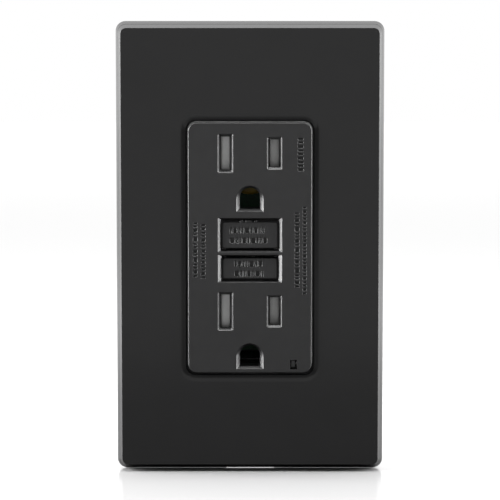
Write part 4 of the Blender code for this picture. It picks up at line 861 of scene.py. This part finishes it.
def button_cap(button, cap_z, front, flange_front):
    """A cap with a rounded brink."""
    sections = []
    for sine, cosine in arc(4):
        size = shrunk(button["cap"], CAP_EDGE * (1 - sine))
        sections.append((rounded(*size, CAP_CORNER, SMALL_STEPS),
                         front + CAP_EDGE * (1 - cosine), 0.0, cap_z))
    sections.append((rounded(*button["cap"], CAP_CORNER, SMALL_STEPS), flange_front + BITE, 0.0, cap_z))
    return loft(sections)


def make_button(name, rows, tabs):
    button = BUTTONS[name]
    cap_z = centre(f"{name}_spring").z
    front, rear = (corner.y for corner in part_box(f"{name}_button"))
    flange_front = face_front() + FLANGE_FROM_FACE
    half = button["cap"][1] / 2
    piece = mesh_object(name, button_cap(button, cap_z, front, flange_front))
    low_reach, high_reach = (0.0, FLANGE_REACH) if name == "reset" else (FLANGE_REACH, 0.0)
    width, thickness, edge = FLANGE
    weld(piece, soft_box((-width / 2, flange_front, cap_z - half - low_reach),
                         (width / 2, flange_front + thickness, cap_z + half + high_reach), edge))
    skirt_front = flange_front + thickness - BITE
    width, depth, edge = SKIRT
    weld(piece, soft_box((-width / 2, skirt_front, cap_z - half + PAST),
                         (width / 2, skirt_front + depth + BITE, cap_z + half - PAST), edge))
    if name == "reset":
        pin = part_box("reset_pin")[0].y
        cut(piece, rod_y(0.0, cap_z, PIN_HOLE[0], pin - GAP, flange_front + PIN_HOLE[1]))
    else:
        weld(piece, rod_y(0.0, cap_z, TEST_STEM, skirt_front + PAST, rear))
    cut(piece, marks(rows, front))
    if tabs:
        weld(piece, tabs)
    stand_for(piece, f"{name}_button", "face")


def reset_tabs():
    """Three little ridges on the cap's upper side."""
    top = centre("reset_spring").z + BUTTONS["reset"]["cap"][1] / 2
    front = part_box("reset_button")[0].y + RIDGE_SINK
    depth, height, edge = RIDGE
    ridges = None
    for start, end in RIDGES:
        ridges = soft_box((start, front, top - BITE), (end, front + depth, top + height), edge, ridges)
    return ridges


def make_buttons():
    mix = (0.45, 0.9, 0.45, 0.45, 1.2)
    make_button("reset", [(*mm(-5.3, 5.0, 4.7, 1.5), mix),
                          (*mm(-5.3, 5.0, 2.0, 1.5), mix[::-1])], reset_tabs())
    make_button("test", [(*mm(-4.1, 4.0, -4.2, 1.5), mix),
                         (*mm(-4.1, 4.0, -6.8, 1.5), mix[::-1])], None)


def make_shutter(node):
    """A slider with a crowned front, a ramp at its outer side and a foot that curves back."""
    low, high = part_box(node)
    side = 1 if low.x + high.x > 0 else -1
    width, middle_x = high.x - low.x, (low.x + high.x) / 2
    sink = HOT_SINK if node.endswith("hot") else 0.0
    across, up = 14, 22
    rings = []
    for row in range(up + 1):
        height = row / up
        z = low.z + (high.z - low.z) * height
        curl = SHUTTER_CURL[0] * max(0.0, 1 - height / SHUTTER_CURL[1]) ** 2
        inset = SHUTTER_EDGE * max(0.0, 1 - 8 * min(height, 1 - height)) ** 2
        shrink = 1 - 2 * inset / width
        ring = []
        for step in range(across + 1):
            share = 2 * step / across - 1
            slope = SHUTTER_RAMP[0] * max(0.0, share - SHUTTER_RAMP[1]) ** 1.5
            back = SHUTTER_CROWN * share ** 2 + slope
            y = min(low.y + inset + sink + back + curl, high.y - inset - SHUTTER_LEAST)
            ring.append((middle_x + side * share * width / 2 * shrink, y, z))
        for way in (side, -side):
            ring.append((middle_x + way * width / 2 * shrink, high.y - inset, z))
        rings.append(ring)
    stand_for(mesh_object(node, skin(rings)), node, "shutter")


def make_light_pipe():
    low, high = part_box("light_pipe")
    lamp = centre("indicator_lamp")
    window_z = lamp.z - WINDOW_RISE
    half_w, half_h, depth, edge = PIPE_HEAD
    radius, bite = PIPE_STEM
    head_rear = low.y + depth
    pipe = mesh_object("pipe", soft_box((lamp.x - half_w, low.y, window_z - half_h),
                                        (lamp.x + half_w, head_rear, window_z + half_h), edge))
    weld(pipe, rod_y(lamp.x, lamp.z, radius, head_rear - bite, high.y, steps=24))
    stand_for(pipe, "light_pipe")


# ---- frame, strap and housings ------------------------------------------------------------------

def make_snap_frame():
    """The frame with ribs behind its flanks and round-cornered slots for the hooks."""
    low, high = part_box("snap_frame")
    size = (high.x - low.x, high.z - low.z)
    outline = rounded(*size, FRAME_CORNER)
    piece = mesh_object("snap", prism(outline, low.y, high.y))
    plate_rear = low.y + FRAME_PLATE
    inner = rounded(*shrunk(size, FRAME_RIM), FRAME_CORNER - FRAME_RIM)
    cut(piece, prism(inner, plate_rear, high.y + PAST))
    cut(piece, prism(rounded(*FRAME_OPENING, OPENING_CORNER), low.y - PAST, high.y + PAST))
    holes, countersinks = bmesh.new(), bmesh.new()
    front, rear = low.y - PAST, plate_rear + PAST
    for end, side in (("top", 1), ("bottom", -1)):
        box_at, frame_at = centre(f"mounting_screw_{end}"), centre(f"frame_screw_{end}")
        rod_y(0.0, box_at.z, FRAME_HOLE, front, rear, holes)
        rod_y(0.0, frame_at.z, FRAME_SINK[0], front, rear, countersinks, FRAME_SINK[1])
        for x in (-HOOK_AT[0], HOOK_AT[0]):
            slot = rounded(*FRAME_SLOT, SMALL_STEPS)
            prism(slot, front, rear, holes, (x, side * (HOOK_AT[1] + HOOK_NUB[1] / 2)))
    cut(piece, holes)
    cut(piece, countersinks)
    length, width, height = FRAME_RIB
    ribs = bmesh.new()
    for side in (-1, 1):
        x = side * (FRAME_OPENING[0] + size[0]) / 4
        for z in (k * FRAME_RIB_STEP for k in range(-2, 3)):
            box_of((x - length / 2, plate_rear - BITE, z - width / 2),
                   (x + length / 2, plate_rear + height, z + width / 2), ribs)
    weld(piece, ribs)
    stand_for(piece, "snap_frame", edge=0.12 * MM)


def strap_holes():
    front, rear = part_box("mounting_strap")[0].y - PAST, PAST
    holes = bmesh.new()
    windows = [("button", BUTTON_WINDOW_Z)]
    for z in outlets():
        windows += [("blade", z), ("ground", z - GROUND_DROP)]
    for kind, z in windows:
        window = rounded(*STRAP_WINDOWS[kind], WINDOW_CORNER, SMALL_STEPS)
        prism(window, front, rear, holes, (0.0, z))
    slot = rounded(*BOX_SLOT)
    for end in ("top", "bottom"):
        z = centre(f"mounting_screw_{end}").z
        prism(slot, front, rear, holes, (0.0, z))
        rod_y(0.0, centre(f"frame_screw_{end}").z, PLATE_HOLE, front, rear, holes)
    for node in assembly_screws():
        rod_y(centre(node).x, centre(node).z, ASSEMBLY_HOLE, front, rear, holes)
    lamp = centre("indicator_lamp")
    rod_y(lamp.x, lamp.z, PIPE_HOLE, front, rear, holes)
    return holes


def make_strap():
    """The steel strap: ears with scored corners, windows, and the ground screw's bent tab."""
    low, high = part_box("mounting_strap")
    front, rear = low.y, 0.0
    outline = rounded(*STRAP_MIDDLE, STRAP_CORNER)
    piece = mesh_object("strap", prism(outline, front, rear))
    ear = rounded(*STRAP_EAR, STRAP_CORNER)
    ear_z = high.z - STRAP_EAR[1] / 2
    width, height, past = STRAP_NECK
    for side in (1, -1):
        neck_z = side * (STRAP_MIDDLE[1] / 2 + past)
        weld(piece, box_of((-width / 2, front, neck_z - height / 2),
                           (width / 2, rear, neck_z + height / 2)))
        weld(piece, prism(ear, front, rear, at=(0.0, side * ear_z)))
    screw = centre("ground_screw")
    tab_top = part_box("ground_clamp")[0].z - GAP
    left, right, thickness = TAB
    weld(piece, box_of((left, front + TAB_INSET, tab_top - thickness), (right, high.y, tab_top)))
    cut(piece, strap_holes())
    drill(piece, TERMINAL_HOLE, (screw.x, screw.y, tab_top), "+Z", reach=2.0 * MM)
    scores = bmesh.new()
    score_x, half, depth, reach = SCORE
    for x in (-score_x, score_x):
        for side in (1, -1):
            box_of((x - half, front - PAST, side * ear_z - reach),
                   (x + half, front + depth, side * ear_z + reach), scores)
    cut(piece, scores)
    stand_for(piece, "mounting_strap", edge=0.1 * MM)


def side_grooves(low, high, front, rear):
    """Grooves round a housing: grip ribs at its flanks, and a latch outline above and below."""
    width, depth = GROOVE
    cuts = bmesh.new()
    for side, x in ((-1, low.x), (1, high.x)):
        ends = sorted((x - side * depth, x + side * PAST))
        for z in GRIP_Z:
            box_of((ends[0], front, z - width / 2), (ends[1], rear, z + width / 2), cuts)
    for side, z in ((-1, low.z), (1, high.z)):
        ends = sorted((z - side * depth, z + side * PAST))
        for x in LATCH_X:
            box_of((x - width / 2, front, ends[0]), (x + width / 2, rear, ends[1]), cuts)
    return cuts


def hollow(piece, size, front, floor_y):
    cut(piece, prism(rounded(*shrunk(size, BODY_WALL), BODY_EDGE), front, floor_y))


def make_middle_housing():
    low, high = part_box("middle_housing")
    size = (high.x - low.x, high.z - low.z)
    outline = rounded(*size, BODY_CORNER)
    piece = mesh_object("middle", prism(outline, low.y, high.y))
    floor_y = high.y - BODY_FLOOR["middle_housing"]
    hollow(piece, size, low.y - PAST, floor_y)
    posts, holes, screws = bmesh.new(), bmesh.new(), bmesh.new()
    front, rear = floor_y - PAST, high.y + PAST
    for node in assembly_screws():
        at = centre(node)
        rod_y(at.x, at.z, POSTS["middle_housing"], low.y, floor_y + BITE, posts)
        rod_y(at.x, at.z, ASSEMBLY_HOLE, low.y - PAST, rear, screws)
    blade_x = centre("shutter_upper_hot").x
    for z in outlets():
        for hole, x, at_z in ((FLOOR_HOLES["blade"], -blade_x, z), (FLOOR_HOLES["blade"], blade_x, z),
                              (STRAP_WINDOWS["ground"], 0.0, z - GROUND_DROP)):
            window = rounded(*hole, FLOOR_CORNER, SMALL_STEPS)
            prism(window, front, rear, holes, (x, at_z))
    for side in (-1, 1):
        rod_y(side * CONTACT_AT[0], CONTACT_AT[1], FLOOR_HOLES["contact"], front, rear, holes)
    rod_y(0.0, centre("reset_spring").z, FLOOR_HOLES["pin"], front, rear, holes)
    lamp = centre("indicator_lamp")
    rod_y(lamp.x, lamp.z, FLOOR_HOLES["pipe"], front, rear, holes)
    weld(piece, posts)
    cut(piece, holes)
    cut(piece, screws)
    cut(piece, side_grooves(low, high, low.y + GROOVE_END, high.y - GROOVE_END))
    stand_for(piece, "middle_housing", edge=0.12 * MM)


def wire_holes(rear_y, floor_y):
    """Round-mouthed wire holes in the back, a pair behind each terminal."""
    x, offset, radius = WIRE_HOLE
    wide, slight = WIRE_EDGE
    holes = bmesh.new()
    for terminal in terminals():
        at = centre(terminal)
        side = 1 if at.x > 0 else -1
        for z in (at.z - offset, at.z + offset):
            loft([(circle(radius + out), y, side * x, z) for out, y in (
                (0.0, floor_y - PAST), (0.0, rear_y - wide), (slight, rear_y - slight),
                (wide, rear_y + SKIM), (wide, rear_y + PAST))], holes)
    return holes


def back_recesses(rear_y):
    """A blank panel and a strip gauge on each side of it, sunk in the back."""
    cuts = bmesh.new()
    for size, corner, depth, z in BACK_RECESSES:
        loft([(rounded(*shrunk(size, RECESS_SLOPE), corner), rear_y - depth, 0.0, z),
              (rounded(*size, corner), rear_y + SKIM, 0.0, z),
              (rounded(*size, corner), rear_y + PAST, 0.0, z)], cuts)
    return cuts


def make_rear_body():
    low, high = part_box("rear_body")
    size = (high.x - low.x, high.z - low.z)
    sections = [(rounded(*size, BODY_CORNER), low.y)]
    for sine, cosine in arc(5):
        inset = BACK_EDGE * (1 - cosine)
        outline = rounded(*shrunk(size, inset), max(BODY_CORNER - inset, BACK_LEAST_CORNER))
        sections.append((outline, high.y - BACK_EDGE * (1 - sine)))
    piece = mesh_object("rear", loft(sections))
    floor_y = high.y - BODY_FLOOR["rear_body"]
    hollow(piece, size, low.y - PAST, floor_y)
    posts, holes, bores = bmesh.new(), bmesh.new(), bmesh.new()
    for node in assembly_screws():
        at = centre(node)
        rod_y(at.x, at.z, POSTS["rear_body"], low.y, floor_y + BITE, posts)
        rod_y(at.x, at.z, ASSEMBLY_HOLE, low.y - PAST, high.y - POST_FLOOR, holes)
        rod_y(at.x, at.z, *HEAD_BORE, high.y + PAST, bores)
    weld(piece, posts)
    cut(piece, holes)
    cut(piece, bores)
    windows = bmesh.new()
    half, reach = SIDE_WINDOW / 2, BODY_WALL + WINDOW_PAST
    for terminal in terminals():
        at = centre(terminal)
        wall = math.copysign(size[0] / 2 - BODY_WALL / 2, at.x)
        box_of((wall - reach, at.y - half, at.z - half),
               (wall + reach, at.y + half, at.z + half), windows)
    cut(piece, windows)
    cut(piece, wire_holes(high.y, floor_y))
    cut(piece, back_recesses(high.y))
    cut(piece, side_grooves(low, high, low.y + GROOVE_END, high.y - GROOVE_END - PAST))
    stand_for(piece, "rear_body", edge=0.1 * MM)


# ---- screws, terminals and springs --------------------------------------------------------------

def make_strap_screws():
    """The oval-head screws for the box, and the flat-head ones that hold the frame."""
    for end in ("top", "bottom"):
        node = f"mounting_screw_{end}"
        low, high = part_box(node)
        z, radius = (low.z + high.z) / 2, (high.x - low.x) / 2
        head, rise = -1.5 * MM - low.y, 1.1 * MM
        dome = [(radius * sine, -rise * (1 - cosine)) for sine, cosine in arc(6)]
        rows = plain(dome + [(radius, -head), (SCREW, -head)])
        rows += threaded(SCREW, -head - 0.5 * MM, low.y - high.y)
        piece = screw_of(node, rows, (0.0, low.y, z), "-Y")
        for half_x, half_z, depth in (mm(2.7, 0.5, 1.0), mm(0.5, 1.9, 1.2)):
            cut(piece, box_of((-half_x, low.y - PAST, z - half_z), (half_x, low.y + depth, z + half_z)))
        stand_for(piece, node, "screw")
        node = f"frame_screw_{end}"
        low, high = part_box(node)
        z, radius = (low.z + high.z) / 2, (high.x - low.x) / 2
        rows = plain([(0.0, 0.0), (radius - 0.1 * MM, 0.0), (radius, -0.15 * MM), (PLATE_SCREW, -1.7 * MM)])
        rows += threaded(PLATE_SCREW, -2.2 * MM, low.y - high.y)
        piece = screw_of(node, rows, (0.0, low.y, z), "-Y")
        half_x, half_z, depth = mm(2.6, 0.45, 0.8)
        cut(piece, box_of((-half_x, low.y - PAST, z - half_z), (half_x, low.y + depth, z + half_z)))
        stand_for(piece, node, "screw")


def make_assembly_screws():
    for node in assembly_screws():
        low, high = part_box(node)
        at, radius = centre(node), (high.x - low.x) / 2
        height, shank = 1.5 * MM, 20.0 * MM
        seat = high.y - height
        rows = plain([(0.0, height), (radius * 0.6, 1.45 * MM), (radius * 0.85, 1.2 * MM),
                      (radius, 0.7 * MM), (radius, 0.0), (ASSEMBLY_SCREW, 0.0), (ASSEMBLY_SCREW, -shank)])
        rows += threaded(ASSEMBLY_SCREW, -shank - 0.2 * MM, low.y - seat)
        piece = screw_of(node, rows, (at.x, seat, at.z), "+Y")
        for half_x, half_z in (mm(1.8, 0.4), mm(0.4, 1.8)):
            cut(piece, box_of((at.x - half_x, high.y - 0.8 * MM, at.z - half_z),
                              (at.x + half_x, high.y + PAST, at.z + half_z)))
        stand_for(piece, node, "screw")


def head_rows(radius, height):
    """A pan head with a soft top edge."""
    return plain([(0.0, height), (radius * 0.72, height), (radius * 0.86, height - 0.1 * MM),
                  (radius * 0.95, height - 0.32 * MM), (radius, height - 0.65 * MM), (radius, 0.12 * MM),
                  (radius - 0.12 * MM, 0.0), (SCREW, 0.0)])


def make_terminals():
    for name in terminals():
        tail = name[len("terminal_"):]
        at = centre(name)
        side = 1 if at.x > 0 else -1
        facing = "+X" if side > 0 else "-X"
        plate = mesh_object(name, box_of(*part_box(name)))
        drill(plate, TERMINAL_HOLE, at, facing)
        stand_for(plate, name, edge=0.15 * MM)
        make_terminal_screw(f"terminal_screw_{tail}", at, side, facing)
        make_terminal_clamp(f"terminal_clamp_{tail}", at, side, facing)


def make_terminal_screw(node, at, side, facing):
    width, depth = SLOT_CUT
    low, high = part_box(node)
    top = (high.x if side > 0 else -low.x) - TERMINAL_SEAT_X
    end = (low.x if side > 0 else -high.x) - TERMINAL_SEAT_X
    radius = (high.z - low.z) / 2
    rows = head_rows(radius, top) + threaded(SCREW, -0.3 * MM, end)
    piece = screw_of(node, rows, (side * TERMINAL_SEAT_X, at.y, at.z), facing)
    xs = sorted((side * (TERMINAL_SEAT_X + top - depth), side * (TERMINAL_SEAT_X + top + PAST)))
    for half_y, half_z in ((radius + PAST, width / 2), (width / 2, radius * CROSS_SHARE)):
        cut(piece, box_of((xs[0], at.y - half_y, at.z - half_z), (xs[1], at.y + half_y, at.z + half_z)))
    stand_for(piece, node, "screw")


def make_terminal_clamp(node, at, side, facing):
    """A plate with teeth above and below its hole."""
    low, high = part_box(node)
    piece = mesh_object(node, box_of(low, high))
    drill(piece, CLAMP_HOLE, (centre(node).x, at.y, at.z), facing)
    teeth = bmesh.new()
    outer = high.x if side > 0 else low.x
    pitch, half = TOOTH
    xs = sorted((outer - side * half, outer + side * PAST))
    for k in (-4, -3, -2, 2, 3, 4):
        z = at.z + k * pitch
        box_of((xs[0], low.y - PAST, z - half), (xs[1], high.y + PAST, z + half), teeth)
    cut(piece, teeth)
    stand_for(piece, node, edge=0.08 * MM)


def make_ground_terminal():
    """The hexagonal green screw under the strap's tab, and its clamp."""
    low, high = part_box("ground_screw")
    at = centre("ground_screw")
    width, depth = SLOT_CUT
    top = GROUND_HEAD_TOP
    rows = []
    for grow, z in ((-0.45 * MM, low.z), (0.0, low.z + 0.35 * MM), (0.0, top - 0.2 * MM), (-0.2 * MM, top)):
        radius = (high.x - low.x) / 2 + grow
        rows.append([(at.x + radius * math.cos(math.radians(60 * i)),
                      at.y + radius * math.sin(math.radians(60 * i)), z) for i in range(6)])
    piece = mesh_object("ground", skin(rows))
    shank = plain([(0.0, BITE), (SCREW, BITE)]) + threaded(SCREW, 0.0, top - high.z)
    weld(piece, turned(shank, (at.x, at.y, top), "-Z", ripple=(THREAD[0], 1)))
    for half_x, half_y in ((5.0 * MM, width / 2), (width / 2, 2.2 * MM)):
        cut(piece, box_of((at.x - half_x, at.y - half_y, low.z - PAST),
                          (at.x + half_x, at.y + half_y, low.z + depth)))
    stand_for(piece, "ground_screw", "screw")
    piece = mesh_object("clamp", box_of(*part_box("ground_clamp")))
    drill(piece, CLAMP_HOLE, centre("ground_clamp"), "+Z")
    stand_for(piece, "ground_clamp", edge=0.12 * MM)


def make_springs():
    """Smooth springs in place of the faceted ones."""
    for node, (wire, turns, way) in SPRINGS.items():
        low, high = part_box(node)
        middle, size = (low + high) / 2, high - low
        along = "XYZ".index(way[1])
        length = size[along] - 2 * wire
        radius = size[(along + 1) % 3] / 2 - wire
        start = middle.copy()
        start[along] -= length / 2
        stand_for(mesh_object(node, helix(radius, wire, length, turns, start, way)), node, "spring")


def make_winding():
    """The solenoid's winding, with its turns of wire."""
    low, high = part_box("solenoid_coil")
    at, outer = centre("solenoid_coil"), (high.x - low.x) / 2
    wire, depth, bore = WINDING
    length = high.z - low.z
    count = int(length / wire * 6)
    rows = [(bore, length, 0.0)]
    rows += [(outer, length * (1 - i / count), depth) for i in range(count + 1)]
    rows += [(bore, 0.0, 0.0)]
    shape = turned(rows, (at.x, at.y, low.z), "+Z", ripple=(wire, 1))
    stand_for(mesh_object("solenoid_coil", shape), "solenoid_coil", "winding")


def make_rings():
    """The two wound rings, with wires side by side round them."""
    bore, fillet, turn = RING
    for node in ("sense_coil", "neutral_coil"):
        low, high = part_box(node)
        at, outer, depth = centre(node), (high.x - low.x) / 2, high.y - low.y
        rows = []
        for corner_r, corner_h, start, out in (
                (outer - fillet, depth - fillet, 90, turn), (outer - fillet, fillet, 0, turn),
                (bore + fillet, fillet, -90, -turn), (bore + fillet, depth - fillet, -180, -turn)):
            for step in range(5):
                angle = math.radians(start - 90 * step / 4)
                rows.append((corner_r + fillet * math.cos(angle), corner_h + fillet * math.sin(angle), out))
        shape = turned(rows, (at.x, low.y, at.z), "+Y", 4 * RING_TURNS, ripple=(1.0, RING_TURNS))
        stand_for(mesh_object(node, shape), node, "winding")


def make_retainers():
    bore, edge = RETAINER
    for end in ("top", "bottom"):
        node = f"screw_retainer_{end}"
        low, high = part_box(node)
        at, outer, height = centre(node), (high.x - low.x) / 2, high.y - low.y
        rows = plain([(outer - edge, height), (outer, height - edge), (outer, edge), (outer - edge, 0.0),
                      (bore + edge, 0.0), (bore, edge), (bore, height - edge), (bore + edge, height)])
        stand_for(mesh_object(node, turned(rows, (at.x, low.y, at.z), "+Y")), node)


def finish_cad_nodes():
    """Gives the nodes that stay their finish and softened edges."""
    for name, node in frame["nodes"].items():
        if not node.hide_render:
            paint(node, SLOT_OF[name])
            bevel(node, *CAD_EDGE)


# ---- studio -------------------------------------------------------------------------------------

def make_world():
    """White for the camera; for everything else bright behind the outlet and dim in front of it."""
    world = bpy.data.worlds.new("studio")
    bpy.context.scene.world = world
    world.use_nodes = True
    tree = world.node_tree
    tree.nodes.clear()
    place = add_node(tree, "TexCoord").outputs["Generated"]
    along = add_node(tree, "SeparateXYZ", links={"Vector": place}).outputs["Y"]
    strength = ramp(tree, along, *WORLD, interpolation_type='SMOOTHSTEP')
    lit = add_node(tree, "Background", {"Color": WHITE}, {"Strength": strength}).outputs["Background"]
    seen = add_node(tree, "Background", {"Color": WHITE}).outputs["Background"]
    by_camera = add_node(tree, "LightPath").outputs["Is Camera Ray"]
    mixed = add_node(tree, "MixShader", links={"Fac": by_camera, 1: lit, 2: seen})
    add_node(tree, "OutputWorld", links={"Surface": mixed.outputs["Shader"]})


def make_lights():
    """Even white panels that face the outlet."""
    for name, (location, size, radiance) in SOFTBOXES.items():
        light = bpy.data.lights.new(name, 'AREA')
        light.shape = 'RECTANGLE'
        light.size, light.size_y = size
        light.energy = radiance * math.pi * size[0] * size[1]
        panel = bpy.data.objects.new(name, light)
        panel.location = location
        panel.rotation_mode = 'QUATERNION'
        panel.rotation_quaternion = Vector(location).to_track_quat('Z', 'Y')
        panel.visible_camera = False
        bpy.context.scene.collection.objects.link(panel)


def floor_painted_light_and_shade():
    """A glossy white floor with light and shade painted by distance from the outlet: painted shade close to
    it for the light that bounces back onto the outlet, and a painted bright patch close to it for the
    camera, which makes up for the outlet's shadow.
    """
    made, tree, shader = new_material("floor_painted_light_and_shade")
    place = add_node(tree, "TexCoord").outputs["Object"]
    away = add_node(tree, "VectorMath", links={0: place}, operation='LENGTH').outputs["Value"]
    by_camera = add_node(tree, "LightPath").outputs["Is Camera Ray"]
    # painted light and shade: the camera sees the floor brighter close to the outlet, while the outlet gets
    # back light from a floor painted darker close to it
    white = add_node(tree, "Mix", links={"Factor": by_camera, "A": ramp(tree, away, *FLOOR_BOUNCE_PAINTED_SHADE),
                                         "B": ramp(tree, away, *FLOOR_CAMERA_PAINTED_LIGHT)}).outputs["Result"]
    fill(tree, shader, {"Roughness": FLOOR_ROUGHNESS}, {"Base Color": white})
    return made


def make_floor():
    floor_z = CAD_BOX[0].z - FLOOR_DROP
    shape = bmesh.new()
    bmesh.ops.create_grid(shape, x_segments=8, y_segments=8, size=FLOOR_SIZE,
                          matrix=Matrix.Translation((0.0, 0.0, floor_z)))
    floor = mesh_object("floor", shape)
    floor.data.materials.append(floor_painted_light_and_shade())


def make_camera():
    camera = bpy.data.cameras.new("camera")
    camera.lens, camera.sensor_width = CAMERA_LENS
    camera.clip_start = 0.01
    holder = bpy.data.objects.new("camera", camera)
    holder.location = CAMERA_AT
    holder.rotation_mode = 'QUATERNION'
    holder.rotation_quaternion = (Vector(CAMERA_AIM) - holder.location).to_track_quat('-Z', 'Y')
    bpy.context.scene.collection.objects.link(holder)
    bpy.context.scene.camera = holder


make_cover_plate()
make_face_cover()
make_buttons()
for shutter in [n for n in frame["nodes"] if n.startswith("shutter_") and "spring" not in n]:
    make_shutter(shutter)
make_light_pipe()
make_snap_frame()
make_strap()
make_middle_housing()
make_rear_body()
make_strap_screws()
make_assembly_screws()
make_terminals()
make_ground_terminal()
make_springs()
make_winding()
make_rings()
make_retainers()
finish_cad_nodes()
make_world()
make_lights()
make_floor()
make_camera()
bpy.context.scene.view_settings.view_transform = 'Standard'
